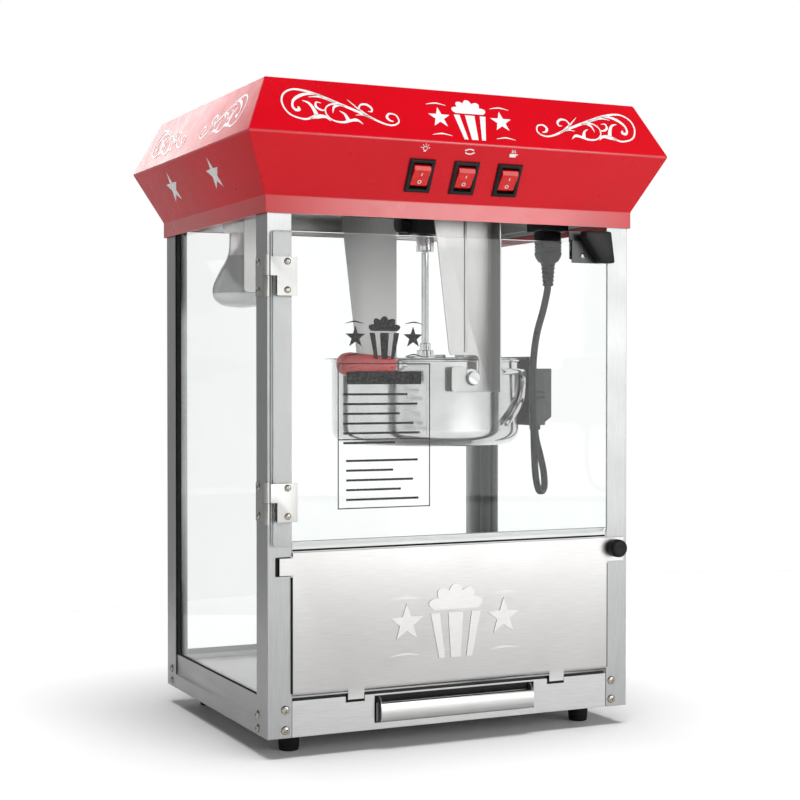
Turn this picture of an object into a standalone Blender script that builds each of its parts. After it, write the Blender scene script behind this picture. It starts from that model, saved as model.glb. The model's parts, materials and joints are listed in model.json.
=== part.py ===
"""Countertop popcorn machine: a glazed cabinet on four feet with a flared roof,
a tilting kettle on two hangers, a stirrer, a glass door, a drop-down serving
panel and a drawer for unpopped kernels.

Standalone Blender script. Lengths below are millimetres and every mesh is
written in metres. X runs to the right, Y to the back, Z up, and the origin is
on the standing surface under the middle of the cabinet.
"""

import math

import bmesh
import bpy
from mathutils import Matrix, Vector

MM = 0.001
GAP = 0.3  # clearance kept between touching pieces

# Driving sizes
BODY_HALF_X = 205.0
BODY_HALF_Y = 163.15
FOOT_HEIGHT = 20.0
SHEET = 1.5
THIN_SHEET = 1.2
GLASS = 3.0
DOOR_GLASS = 4.0
REAR_GLASS_Y = 156.3

BODY_BOTTOM = FOOT_HEIGHT
RAIL_TOP = BODY_BOTTOM + 36.0
SIDE_RAIL_TOP = BODY_BOTTOM + 38.5
DECK_Z = BODY_BOTTOM + 27.0
DECK_SLOT = (3.0, 8.0)  # half width and half length
DECK_SLOT_SPACING = (30.0, 26.0)
DECK_SLOT_START = (-60.0, -120.0)
POST_FRONT_LEG = 25.4
POST_SIDE_LEG = 30.4
POST_TOP = 559.0
CEILING_Z = 559.7
CEILING_LIP = 20.0

# Roof: half width, half depth and height of each fold line
ROOF_LIP_BOTTOM = (207.9, 166.1, 531.0)
ROOF_LIP_TOP = (207.9, 166.1, 548.0)
ROOF_WIDEST = (235.4, 195.6, 605.0)
ROOF_TOP = (209.0, 168.7, 661.0)
REAR_LIP_BOTTOM = 539.0

# Glass door and its lift-off hinges
DOOR_LEFT = -200.5
DOOR_RIGHT = 178.0
DOOR_BOTTOM = 208.0
DOOR_TOP = 514.0
DOOR_BACK_Y = -BODY_HALF_Y - 0.85
DOOR_FRONT_Y = DOOR_BACK_Y - DOOR_GLASS
HINGE_AXIS = (-207.2, -167.5)
HINGE_RADIUS = 4.25
HINGE_PIN_RADIUS = 1.9
HINGE_HEIGHT = 37.6
HINGE_BOTTOMS = {"upper": 451.0, "lower": 231.5}

# Serving panel
PANEL_HALF_X = 179.2
PANEL_TOP = 201.0
PANEL_FACE_Y = -165.3
PANEL_PIVOT = (-166.0, 57.0)
PANEL_FLANGE_Z = 60.0
PANEL_FLANGE_END_Y = -150.0
PANEL_BEND = 5.0
PANEL_TABS = (-112.0, 117.5)
PANEL_TAB_HALF = 8.7
PANEL_TAB_BOTTOM = 53.0
PANEL_EAR_BOTTOM = 179.0
PANEL_EAR_TOP = 196.0
KNOB_CENTRE = (188.5, 190.0)
KNOB_RADIUS = 9.5

# Drawer for unpopped kernels
DRAWER_HALF_X = 88.0
DRAWER_REAR_Y = 40.0
DRAWER_BOTTOM = BODY_BOTTOM + 7.5
DRAWER_TOP = DRAWER_BOTTOM + 19.0
DRAWER_OPENING_HALF_X = 91.0
DRAWER_OPENING = (BODY_BOTTOM + 7.0, BODY_BOTTOM + 34.0)

# Kettle, turned about a vertical axis and hung on two trunnions
KETTLE_CENTRE = (43.0, -2.0)
KETTLE_RADIUS = 104.5
KETTLE_BOTTOM = 298.0
KETTLE_RIM = 391.0
TILT_AXIS = (40.5, 371.0)
TRUNNION_RADIUS = 6.9
HANGER_INNER_Y = 119.5
HANGER_BOTTOM = 356.3
HANGER_RIGHT = 64.5
LID_RADIUS = 103.0
LID_TAB_HALF = 13.0
LID_TAB_REACH = 15.0
CROSSBAR_HALF_X = 12.0
LID_HINGE_Z = KETTLE_RIM + 2.2
ROD_RADIUS = 4.25
ROD_TOP = 511.0
COUPLING_RADIUS = 9.8
MOTOR_BOTTOM = 530.5

# Rocker switches on the lower front slope of the roof
SWITCH_XS = {"light": -49.0, "stirrer": 0.5, "kettle": 50.0}
SWITCH_UP_SLOPE = 28.0
BEZEL_HALF = (14.1, 17.6)
ROCKER_HALF = (9.3, 12.4)
ROCKER_TILT = math.radians(13.0)
ROCKER_PIVOT_DEPTH = 2.0

# Lamp, its shield and the kettle's lead
LAMP_CENTRE = (-145.0, 75.0)
LAMP_FACE_Z = 449.0
SOCKET_CENTRE = (151.0, -88.0)
PLUG_TOP = 530.7
PLUG_BOTTOM = 478.0
CORD_RADIUS = 3.6
CORD_ROUTE = (
    (151.0, -88.0, 477.0),
    (150.0, -88.0, 466.0),
    (146.0, -86.0, 445.0),
    (140.0, -83.0, 420.0),
    (137.5, -80.0, 392.0),
    (138.5, -77.0, 360.0),
    (141.0, -74.0, 326.0),
    (143.5, -71.0, 292.0),
    (147.0, -68.0, 264.0),
    (152.0, -65.0, 248.5),
    (159.0, -60.0, 243.5),
    (167.0, -53.0, 250.0),
    (170.0, -46.0, 266.0),
    (168.5, -40.0, 286.0),
    (166.0, -36.0, 303.0),
    (165.0, -35.0, 316.5),
)

ROUND = 48  # sides of a large turned piece
SMALL_ROUND = 20  # sides of a small turned piece


# ---------------------------------------------------------------- scene tools


def clear_scene():
    for obj in list(bpy.data.objects):
        bpy.data.objects.remove(obj, do_unlink=True)


def material(name, colour, roughness, metallic=0.0, transmission=0.0):
    found = bpy.data.materials.get(name)
    if found:
        return found
    made = bpy.data.materials.new(name)
    made.use_nodes = True
    shader = made.node_tree.nodes["Principled BSDF"]
    shader.inputs["Base Color"].default_value = (*colour, 1.0)
    shader.inputs["Roughness"].default_value = roughness
    shader.inputs["Metallic"].default_value = metallic
    shader.inputs["Transmission Weight"].default_value = transmission
    made.diffuse_color = (*colour, 1.0)
    return made


def red_paint():
    return material("red_paint", (0.78, 0.01, 0.03), 0.22)


def brushed_steel():
    return material("brushed_steel", (0.72, 0.71, 0.69), 0.34, 1.0)


def polished_steel():
    return material("polished_steel", (0.80, 0.80, 0.79), 0.12, 1.0)


def satin_aluminium():
    return material("satin_aluminium", (0.68, 0.69, 0.70), 0.38, 1.0)


def clear_glass():
    return material("clear_glass", (0.95, 0.98, 0.98), 0.02, 0.0, 1.0)


def black_plastic():
    return material("black_plastic", (0.02, 0.02, 0.02), 0.45)


def black_rubber():
    return material("black_rubber", (0.015, 0.015, 0.015), 0.75)


def red_plastic():
    return material("red_plastic", (0.65, 0.02, 0.02), 0.3)


def frosted_glass():
    return material("frosted_glass", (0.85, 0.85, 0.84), 0.5)


def white_ceramic():
    return material("white_ceramic", (0.85, 0.84, 0.80), 0.4)


def object_from(name, bm, finish, origin=(0.0, 0.0, 0.0), smooth=False):
    """Closes the bmesh, in millimetres, into a named object in metres whose origin is given."""
    bmesh.ops.recalc_face_normals(bm, faces=bm.faces)
    bm.transform(Matrix.Translation(-Vector(origin)))
    bm.transform(Matrix.Scale(MM, 4))
    mesh = bpy.data.meshes.new(name)
    bm.to_mesh(mesh)
    bm.free()
    if smooth:
        mesh.shade_smooth()
        mesh.set_sharp_from_angle(angle=math.radians(40))
    made = bpy.data.objects.new(name, mesh)
    made.location = Vector(origin) * MM
    if finish:
        mesh.materials.append(finish)
    bpy.context.scene.collection.objects.link(made)
    return made


def helper(name, bm):
    """An object used only by a Boolean of another object."""
    made = object_from(name, bm, None)
    made.hide_render = True
    made.display_type = "WIRE"
    return made


def boolean(obj, other, operation):
    modifier = obj.modifiers.new(f"{operation.lower()}_{other.name}", "BOOLEAN")
    modifier.operation = operation
    modifier.object = other


def bevel(obj, width, segments=2):
    modifier = obj.modifiers.new("bevel", "BEVEL")
    modifier.width = width * MM
    modifier.segments = segments
    modifier.limit_method = "ANGLE"


# ---------------------------------------------------------------- mesh tools


def loft(bm, loops, ring=False):
    """Skins a list of equal loops of points: capped at both ends, or closed into a ring."""
    rows = [[bm.verts.new(point) for point in loop] for loop in loops]
    pairs = list(zip(rows, rows[1:]))
    if ring:
        pairs.append((rows[-1], rows[0]))
    else:
        bm.faces.new(rows[0])
        bm.faces.new(rows[-1])
    for low, high in pairs:
        for i in range(len(low)):
            j = (i + 1) % len(low)
            bm.faces.new((low[i], low[j], high[j], high[i]))


def rectangle(half_x, half_y, z, centre=(0.0, 0.0)):
    x, y = centre
    return [
        (x - half_x, y - half_y, z),
        (x + half_x, y - half_y, z),
        (x + half_x, y + half_y, z),
        (x - half_x, y + half_y, z),
    ]


def circle(radius, along, centre, sides=SMALL_ROUND, axis="Z"):
    """A loop of points round an axis. centre holds the two coordinates across the axis."""
    loop = []
    for i in range(sides):
        angle = 2.0 * math.pi * (i + 0.5) / sides
        u = centre[0] + radius * math.cos(angle)
        v = centre[1] + radius * math.sin(angle)
        loop.append({"X": (along, u, v), "Y": (u, along, v), "Z": (u, v, along)}[axis])
    return loop


def arc(centre, radius, start, end, steps=4):
    """Points of an arc in a plane, both ends included. Angles are in degrees."""
    points = []
    for i in range(steps + 1):
        angle = math.radians(start + (end - start) * i / steps)
        points.append((centre[0] + radius * math.cos(angle), centre[1] + radius * math.sin(angle)))
    return points


def turned(bm, profile, centre, sides=SMALL_ROUND, axis="Z", ring=False):
    """Turns a profile of (radius, position along the axis) pairs about the axis."""
    loft(bm, [circle(radius, along, centre, sides, axis) for radius, along in profile], ring)


def prism(bm, outline, start, end, axis="Y"):
    """Extrudes an outline along an axis. The outline holds the two other coordinates, in order."""
    place = {
        "X": lambda u, v, w: (w, u, v),
        "Y": lambda u, v, w: (u, w, v),
        "Z": lambda u, v, w: (u, v, w),
    }[axis]
    loft(bm, [[place(u, v, start) for u, v in outline], [place(u, v, end) for u, v in outline]])


def box(bm, low, high):
    corners = [(low[0], low[1]), (high[0], low[1]), (high[0], high[1]), (low[0], high[1])]
    prism(bm, corners, low[2], high[2], "Z")


def box_object(name, low, high, finish):
    bm = bmesh.new()
    box(bm, low, high)
    return object_from(name, bm, finish)


def pan(bm, half_x, low_y, high_y, floor_z, lip_z, wall):
    """A folded pan: a floor with a lip all round, which rises or hangs to lip_z."""
    centre = (0.0, (low_y + high_y) / 2.0)
    half_y = (high_y - low_y) / 2.0
    step = wall if lip_z > floor_z else -wall
    loops = [
        rectangle(half_x, half_y, floor_z, centre),
        rectangle(half_x, half_y, lip_z, centre),
        rectangle(half_x - wall, half_y - wall, lip_z, centre),
        rectangle(half_x - wall, half_y - wall, floor_z + step, centre),
    ]
    loft(bm, loops)


def rod_object(name, path, radius, finish, origin=(0.0, 0.0, 0.0), resolution=2):
    """A bent rod or a lead: a bevelled curve through the path, with filled ends."""
    curve = bpy.data.curves.new(name, "CURVE")
    curve.dimensions = "3D"
    curve.bevel_depth = radius * MM
    curve.bevel_resolution = resolution
    curve.use_fill_caps = True
    spline = curve.splines.new("POLY")
    spline.points.add(len(path) - 1)
    for point, place in zip(spline.points, path):
        point.co = (*((Vector(place) - Vector(origin)) * MM), 1.0)
    curve.materials.append(finish)
    made = bpy.data.objects.new(name, curve)
    made.location = Vector(origin) * MM
    bpy.context.scene.collection.objects.link(made)
    return made


def smooth_path(route, spacing):
    """Points at an even spacing along the Catmull-Rom curve through a route."""
    ends = [route[0]] + list(route) + [route[-1]]
    points = [Vector(point) for point in ends]
    fine = [points[1]]
    for before, start, end, after in zip(points, points[1:], points[2:], points[3:]):
        for i in range(1, 21):
            t = i / 20.0
            linear = (end - before) * t
            square = (2 * before - 5 * start + 4 * end - after) * t**2
            cube = (3 * start - before - 3 * end + after) * t**3
            fine.append(start + (linear + square + cube) / 2.0)
    length = sum((b - a).length for a, b in zip(fine, fine[1:]))
    count = round(length / spacing)
    even = [fine[0]]
    walked = 0.0
    for a, b in zip(fine, fine[1:]):
        step = (b - a).length
        while len(even) < count and walked + step >= len(even) * length / count:
            part = (len(even) * length / count - walked) / step
            even.append(a.lerp(b, part))
        walked += step
    even.append(fine[-1])
    return even


# ---------------------------------------------------------------- cabinet


def make_feet():
    for side, sign_x in (("left", -1), ("right", 1)):
        for end, sign_y in (("front", -1), ("rear", 1)):
            bm = bmesh.new()
            profile = [(9.0, 0.0), (9.6, 1.0), (11.0, FOOT_HEIGHT - GAP)]
            turned(bm, profile, (sign_x * 168.0, sign_y * 125.0))
            object_from(f"foot_{end}_{side}", bm, black_rubber(), smooth=True)


def make_base():
    bm = bmesh.new()
    pan(bm, 201.5, -160.0, 160.0, BODY_BOTTOM, BODY_BOTTOM + 6.0, THIN_SHEET)
    object_from("base_pan", bm, satin_aluminium())


def make_rails():
    half = BODY_HALF_X - POST_FRONT_LEG - GAP
    front = bmesh.new()
    box(front, (-half, -BODY_HALF_Y, BODY_BOTTOM + GAP), (half, -BODY_HALF_Y + SHEET, RAIL_TOP))
    front_rail = object_from("front_rail", front, satin_aluminium())
    cuts = bmesh.new()
    low, high = DRAWER_OPENING
    box(cuts, (-DRAWER_OPENING_HALF_X, -170.0, low), (DRAWER_OPENING_HALF_X, -155.0, high))
    for x in PANEL_TABS:
        reach = PANEL_TAB_HALF + 1.5
        box(cuts, (x - reach, -170.0, BODY_BOTTOM + 30.0), (x + reach, -155.0, RAIL_TOP + 5.0))
    boolean(front_rail, helper("front_rail_cuts", cuts), "DIFFERENCE")

    rear = bmesh.new()
    box(rear, (-half, BODY_HALF_Y - SHEET, BODY_BOTTOM + GAP), (half, BODY_HALF_Y, SIDE_RAIL_TOP))
    object_from("rear_rail", rear, satin_aluminium())

    # Each side rail is joggled: its upper half sits one sheet further in.
    outer = BODY_HALF_X - 0.1
    fold = BODY_BOTTOM + 15.5
    for name, sign in (("left_rail", -1), ("right_rail", 1)):
        outline = [
            (sign * outer, BODY_BOTTOM + GAP),
            (sign * outer, fold),
            (sign * (outer - SHEET), fold + SHEET),
            (sign * (outer - SHEET), SIDE_RAIL_TOP),
            (sign * (outer - 2 * SHEET), SIDE_RAIL_TOP),
            (sign * (outer - 2 * SHEET), fold + 0.6),
            (sign * (outer - SHEET), fold - 0.9),
            (sign * (outer - SHEET), BODY_BOTTOM + GAP),
        ]
        bm = bmesh.new()
        reach = BODY_HALF_Y - POST_SIDE_LEG - GAP
        prism(bm, outline, -reach, reach)
        object_from(name, bm, satin_aluminium())


def make_posts():
    for side, sign_x in (("left", -1), ("right", 1)):
        for end, sign_y in (("front", -1), ("rear", 1)):
            outline = [
                (BODY_HALF_X, BODY_HALF_Y),
                (BODY_HALF_X - POST_FRONT_LEG, BODY_HALF_Y),
                (BODY_HALF_X - POST_FRONT_LEG, BODY_HALF_Y - SHEET),
                (BODY_HALF_X - SHEET, BODY_HALF_Y - SHEET),
                (BODY_HALF_X - SHEET, BODY_HALF_Y - POST_SIDE_LEG),
                (BODY_HALF_X, BODY_HALF_Y - POST_SIDE_LEG),
            ]
            bm = bmesh.new()
            placed = [(sign_x * x, sign_y * y) for x, y in outline]
            prism(bm, placed, BODY_BOTTOM, POST_TOP, "Z")
            post = object_from(f"post_{end}_{side}", bm, satin_aluminium())
            if (end, side) == ("front", "left"):
                slot = bmesh.new()
                low = (-196.3, -170.0, PANEL_EAR_BOTTOM - 0.5)
                box(slot, low, (-181.5, -158.0, PANEL_EAR_TOP + 0.5))
                boolean(post, helper("ear_slot", slot), "DIFFERENCE")


def make_glazing():
    bottom = SIDE_RAIL_TOP - 6.0
    top = POST_TOP - 14.0
    outer = BODY_HALF_X - 0.1 - 2 * SHEET - 0.4
    for name, sign in (("left_glass", -1), ("right_glass", 1)):
        low_x, high_x = sorted((sign * outer, sign * (outer - GLASS)))
        low = (low_x, -BODY_HALF_Y + 4.0, bottom)
        box_object(name, low, (high_x, REAR_GLASS_Y - GAP, top), clear_glass())
    low = (-198.0, REAR_GLASS_Y, bottom)
    box_object("rear_glass", low, (198.0, REAR_GLASS_Y + GLASS, top), clear_glass())


def make_deck():
    bm = bmesh.new()
    pan(bm, 197.5, -159.0, 155.0, DECK_Z, DECK_Z + 6.0, THIN_SHEET)
    deck = object_from("popcorn_deck", bm, brushed_steel())
    slots = bmesh.new()
    half_x, half_y = DECK_SLOT
    for row in range(6):
        for column in range(5):
            x = DECK_SLOT_START[0] + column * DECK_SLOT_SPACING[0]
            y = DECK_SLOT_START[1] + row * DECK_SLOT_SPACING[1]
            low = (x - half_x, y - half_y, DECK_Z - 2.0)
            box(slots, low, (x + half_x, y + half_y, DECK_Z + 4.0))
    boolean(deck, helper("deck_slots", slots), "DIFFERENCE")

    low = (-BODY_HALF_X + POST_FRONT_LEG + GAP, -162.0, PANEL_TOP - 4.0)
    high = (BODY_HALF_X - POST_FRONT_LEG - GAP, -157.0, DOOR_BOTTOM + 4.0)
    box_object("front_crossbar", low, high, satin_aluminium())


def make_ceiling():
    bm = bmesh.new()
    top = CEILING_Z + THIN_SHEET
    pan(bm, 203.2, -161.3, 161.3, top, CEILING_Z - CEILING_LIP, THIN_SHEET)
    object_from("ceiling_pan", bm, brushed_steel())


def roof_loop(fold, inset=0.0, drop=0.0):
    half_x, half_y, z = fold
    return rectangle(half_x - inset, half_y - inset, z - drop)


def make_roof():
    bm = bmesh.new()
    loops = [
        roof_loop(ROOF_TOP, SHEET, SHEET),
        roof_loop(ROOF_WIDEST, 1.6 * SHEET),
        roof_loop(ROOF_LIP_TOP, SHEET),
        roof_loop(ROOF_LIP_BOTTOM, SHEET),
        roof_loop(ROOF_LIP_BOTTOM),
        roof_loop(ROOF_LIP_TOP),
        roof_loop(ROOF_WIDEST),
        roof_loop(ROOF_TOP),
    ]
    loft(bm, loops)
    roof = object_from("roof_shell", bm, red_paint())
    cuts = bmesh.new()
    box(cuts, (-199.0, 160.0, 520.0), (199.0, 175.0, REAR_LIP_BOTTOM))
    for x in SWITCH_XS.values():
        loops = []
        for depth in (-12.0, 8.0):
            loops.append(slope_rectangle(x, BEZEL_HALF[0] - 2.0, BEZEL_HALF[1] - 2.0, depth))
        loft(cuts, loops)
    boolean(roof, helper("roof_cuts", cuts), "DIFFERENCE")


# ---------------------------------------------------------------- switches


def slope_point(x, u, v, w):
    """A point on the lower front slope: u to the right, v up the slope, w outwards."""
    run = ROOF_WIDEST[1] - ROOF_LIP_TOP[1]
    rise = ROOF_WIDEST[2] - ROOF_LIP_TOP[2]
    length = math.hypot(run, rise)
    up_y, up_z = -run / length, rise / length
    along = SWITCH_UP_SLOPE + v
    y = -ROOF_LIP_TOP[1] + along * up_y - w * up_z
    z = ROOF_LIP_TOP[2] + along * up_z + w * up_y
    return (x + u, y, z)


def slope_rectangle(x, half_u, half_v, w):
    corners = ((-half_u, -half_v), (half_u, -half_v), (half_u, half_v), (-half_u, half_v))
    return [slope_point(x, u, v, w) for u, v in corners]


def make_switches():
    half_u, half_v = BEZEL_HALF
    for name, x in SWITCH_XS.items():
        bm = bmesh.new()
        loops = [
            slope_rectangle(x, half_u - 2.4, half_v - 2.4, -11.0),
            slope_rectangle(x, half_u - 2.4, half_v - 2.4, GAP),
            slope_rectangle(x, half_u, half_v, GAP),
            slope_rectangle(x, half_u, half_v, 1.4),
            slope_rectangle(x, half_u - 1.2, half_v - 1.2, 2.6),
            slope_rectangle(x, ROCKER_HALF[0] + 0.4, ROCKER_HALF[1] + 1.4, 2.6),
            slope_rectangle(x, ROCKER_HALF[0] + 0.4, ROCKER_HALF[1] + 1.4, -11.0),
        ]
        loft(bm, loops, ring=True)
        object_from(f"switch_bezel_{name}", bm, black_plastic())
        make_rocker(name, x)


def make_rocker(name, x):
    """The rocker lies tilted about its pivot, with its lower half pressed in."""
    half_u, half_v = ROCKER_HALF
    crest = half_v - 3.6
    outline = [(-half_v, 0.5), (-crest, 4.0), (0.0, 3.4), (crest, 4.0), (half_v, 0.5)]
    outline += [(half_v - 1.1, -4.0), (4.0, -7.0), (-4.0, -7.0), (1.1 - half_v, -4.0)]
    tilted = []
    for v, w in outline:
        reach = w + ROCKER_PIVOT_DEPTH
        turned_v = v * math.cos(ROCKER_TILT) - reach * math.sin(ROCKER_TILT)
        turned_w = v * math.sin(ROCKER_TILT) + reach * math.cos(ROCKER_TILT)
        tilted.append((turned_v, turned_w - ROCKER_PIVOT_DEPTH))
    bm = bmesh.new()
    ends = (-half_u, half_u)
    loft(bm, [[slope_point(x, u, v, w) for v, w in tilted] for u in ends])
    pivot = slope_point(x, 0.0, 0.0, -ROCKER_PIVOT_DEPTH)
    object_from(f"switch_rocker_{name}", bm, red_plastic(), pivot)


# ---------------------------------------------------------------- glass door


def make_door():
    bm = bmesh.new()
    corner = 3.0
    left, right = DOOR_LEFT + corner, DOOR_RIGHT - corner
    low, high = DOOR_BOTTOM + corner, DOOR_TOP - corner
    outline = arc((left, low), corner, 180, 270) + arc((right, low), corner, 270, 360)
    outline += arc((right, high), corner, 0, 90) + arc((left, high), corner, 90, 180)
    prism(bm, outline, DOOR_FRONT_Y, DOOR_BACK_Y)
    origin = (*HINGE_AXIS, DOOR_BOTTOM)
    object_from("door_glass", bm, clear_glass(), origin)
    make_door_clip(origin)
    make_door_pull(origin)
    for name, bottom in HINGE_BOTTOMS.items():
        make_hinge(name, bottom)


def make_door_clip(origin):
    """A folded clip over the top edge of the glass. Its tongue stands up behind the glass."""
    front = DOOR_FRONT_Y - GAP
    back = DOOR_BACK_Y + GAP
    top = DOOR_TOP + GAP
    outline = [
        (front - THIN_SHEET, 492.0),
        (front, 492.0),
        (front, top),
        (back, top),
        (back, 496.0),
        (back + THIN_SHEET, 496.0),
        (back + THIN_SHEET, 526.0),
        (back, 526.0),
        (back, top + THIN_SHEET),
        (front - THIN_SHEET, top + THIN_SHEET),
    ]
    bm = bmesh.new()
    prism(bm, outline, 133.0, 168.0, "X")
    object_from("door_clip", bm, polished_steel(), origin)


def make_door_pull(origin):
    outline = [(142.4, 525.0), (173.3, 525.0), (177.9, 492.0), (162.4, 492.0), (141.8, 518.0)]
    bm = bmesh.new()
    face = DOOR_FRONT_Y - GAP - THIN_SHEET - GAP
    prism(bm, outline, face - 13.5, face)
    pull = object_from("door_pull", bm, black_plastic(), origin)
    bevel(pull, 1.8)


def make_hinge(name, bottom):
    """A lift-off hinge: the lower knuckle and its pin are on the post, the upper knuckle on the door."""
    x, y = HINGE_AXIS
    top = bottom + HINGE_HEIGHT
    middle = (bottom + top) / 2.0
    leaf_y = DOOR_FRONT_Y - GAP
    origin = (x, y, DOOR_BOTTOM)

    leaf = bmesh.new()
    box(leaf, (-196.7, leaf_y - THIN_SHEET, bottom), (-175.7, leaf_y, top))
    door_leaf = object_from(f"hinge_door_leaf_{name}", leaf, brushed_steel(), origin)
    web = bmesh.new()
    box(web, (x, leaf_y - THIN_SHEET, middle + GAP), (-194.0, leaf_y, top))
    boolean(door_leaf, helper(f"hinge_door_web_{name}", web), "UNION")
    knuckle = bmesh.new()
    turned(knuckle, [(HINGE_RADIUS, middle + GAP), (HINGE_RADIUS, top + 1.6)], (x, y))
    boolean(door_leaf, helper(f"hinge_door_knuckle_{name}", knuckle), "UNION")
    bore = bmesh.new()
    turned(bore, [(HINGE_PIN_RADIUS + GAP, bottom), (HINGE_PIN_RADIUS + GAP, top - 2.0)], (x, y))
    boolean(door_leaf, helper(f"hinge_bore_{name}", bore), "DIFFERENCE")

    post_x = -BODY_HALF_X - GAP
    fixed = bmesh.new()
    box(fixed, (post_x - THIN_SHEET, -160.0, bottom), (post_x, -135.5, top))
    post_leaf = object_from(f"hinge_post_leaf_{name}", fixed, brushed_steel())
    web = bmesh.new()
    box(web, (post_x - THIN_SHEET, y, bottom), (post_x, -158.0, middle))
    boolean(post_leaf, helper(f"hinge_post_web_{name}", web), "UNION")
    knuckle = bmesh.new()
    profile = [
        (HINGE_RADIUS, bottom - 1.6),
        (HINGE_RADIUS, middle),
        (HINGE_PIN_RADIUS, middle),
        (HINGE_PIN_RADIUS, top - 4.0),
    ]
    turned(knuckle, profile, (x, y))
    boolean(post_leaf, helper(f"hinge_post_knuckle_{name}", knuckle), "UNION")


# ---------------------------------------------------------------- serving panel and drawer


def make_serving_panel():
    face, back = PANEL_FACE_Y, PANEL_FACE_Y + THIN_SHEET
    bend = (face + PANEL_BEND, PANEL_FLANGE_Z + PANEL_BEND)
    outline = [(face, PANEL_TOP)] + arc(bend, PANEL_BEND, 180, 270)
    outline += [(PANEL_FLANGE_END_Y, PANEL_FLANGE_Z)]
    outline += [(PANEL_FLANGE_END_Y, PANEL_FLANGE_Z + THIN_SHEET)]
    outline += arc(bend, PANEL_BEND - THIN_SHEET, 270, 180) + [(back, PANEL_TOP)]
    bm = bmesh.new()
    prism(bm, outline, -PANEL_HALF_X, PANEL_HALF_X, "X")
    origin = (0.0, *PANEL_PIVOT)
    panel = object_from("serving_panel", bm, brushed_steel(), origin)
    extras = bmesh.new()
    box(extras, (-193.0, face, PANEL_EAR_BOTTOM), (-178.0, back, PANEL_EAR_TOP))
    box(extras, (178.0, face, PANEL_EAR_BOTTOM - 3.0), (200.0, back, PANEL_TOP))
    for x in PANEL_TABS:
        low = (x - PANEL_TAB_HALF, face, PANEL_TAB_BOTTOM)
        box(extras, low, (x + PANEL_TAB_HALF, back, PANEL_FLANGE_Z + 8.0))
    boolean(panel, helper("panel_ears_and_tabs", extras), "UNION")

    bm = bmesh.new()
    seat = face - GAP
    profile = [
        (KNOB_RADIUS - 2.5, seat),
        (KNOB_RADIUS, seat - 2.5),
        (KNOB_RADIUS, seat - 10.0),
        (KNOB_RADIUS - 1.2, seat - 12.0),
    ]
    turned(bm, profile, KNOB_CENTRE, axis="Y")
    origin = (KNOB_CENTRE[0], face, KNOB_CENTRE[1])
    object_from("panel_knob", bm, black_plastic(), origin, smooth=True)


def make_drawer():
    front_y = -BODY_HALF_Y + 2.2
    bm = bmesh.new()
    pan(bm, DRAWER_HALF_X, front_y, DRAWER_REAR_Y, DRAWER_BOTTOM, DRAWER_TOP, THIN_SHEET)
    object_from("kernel_drawer", bm, brushed_steel())

    # The pull: a curled lip with a cheek at each end
    seat = front_y - GAP
    low = DRAWER_BOTTOM + GAP
    outer = [(seat, low), (-168.0, low + 0.6), (-170.4, low + 3.0), (-171.2, low + 7.0)]
    outer += [(-171.0, low + 15.0), (-169.8, low + 19.0)]
    inner = [(-168.7, low + 18.6), (-169.8, low + 15.0), (-170.0, low + 7.0)]
    inner += [(-169.4, low + 4.0), (-167.6, low + 1.8), (seat, low + 1.2)]
    bm = bmesh.new()
    half = DRAWER_HALF_X - 1.0
    prism(bm, outer + inner, -half, half, "X")
    pull = object_from("drawer_pull", bm, brushed_steel())
    cheek = [(seat, low), (-168.0, low + 0.6), (-170.4, low + 3.0), (-171.2, low + 7.0)]
    cheek += [(-171.0, low + 15.0), (-168.0, low + 23.0), (-164.0, low + 25.5), (seat, low + 25.5)]
    cheeks = bmesh.new()
    for start in (-half, half - 1.6):
        prism(cheeks, cheek, start, start + 1.6, "X")
    boolean(pull, helper("drawer_cheeks", cheeks), "UNION")


# ---------------------------------------------------------------- kettle


def make_kettle():
    origin = (TILT_AXIS[0], 0.0, TILT_AXIS[1])
    bm = bmesh.new()
    wall = KETTLE_RADIUS - SHEET
    corner = 18.0
    outer_corner = arc((KETTLE_RADIUS - corner, KETTLE_BOTTOM + corner), corner, 0, -90, 5)
    inner_corner = arc((KETTLE_RADIUS - corner, KETTLE_BOTTOM + corner), corner - SHEET, -90, 0, 5)
    profile = inner_corner
    profile += [(wall, KETTLE_RIM), (KETTLE_RADIUS + 1.4, KETTLE_RIM)]
    profile += [(KETTLE_RADIUS + 1.4, KETTLE_RIM - 3.0), (KETTLE_RADIUS, KETTLE_RIM - 3.6)]
    profile += outer_corner
    turned(bm, profile, KETTLE_CENTRE, ROUND)
    object_from("kettle_shell", bm, polished_steel(), origin, smooth=True)

    bm = bmesh.new()
    radius = wall - GAP
    floor = KETTLE_BOTTOM + 16.0
    outer_corner = arc((radius - 14.0, floor + 14.0), 14.0, 0, -90, 4)
    inner_corner = arc((radius - 14.0, floor + 14.0), 14.0 - THIN_SHEET, -90, 0, 4)
    profile = inner_corner + [(radius - THIN_SHEET, KETTLE_RIM - 1.0), (radius, KETTLE_RIM - 1.0)]
    profile += outer_corner
    turned(bm, profile, KETTLE_CENTRE, ROUND)
    object_from("kettle_liner", bm, polished_steel(), origin, smooth=True)

    bm = bmesh.new()
    profile = [
        (28.0, KETTLE_BOTTOM + 4.0),
        (78.0, KETTLE_BOTTOM + 4.0),
        (78.0, KETTLE_BOTTOM + 12.0),
        (28.0, KETTLE_BOTTOM + 12.0),
    ]
    turned(bm, profile, KETTLE_CENTRE, 32, ring=True)
    object_from("heater_element", bm, satin_aluminium(), origin, smooth=True)
    make_trunnions(origin)
    make_kettle_fittings(origin)


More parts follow.
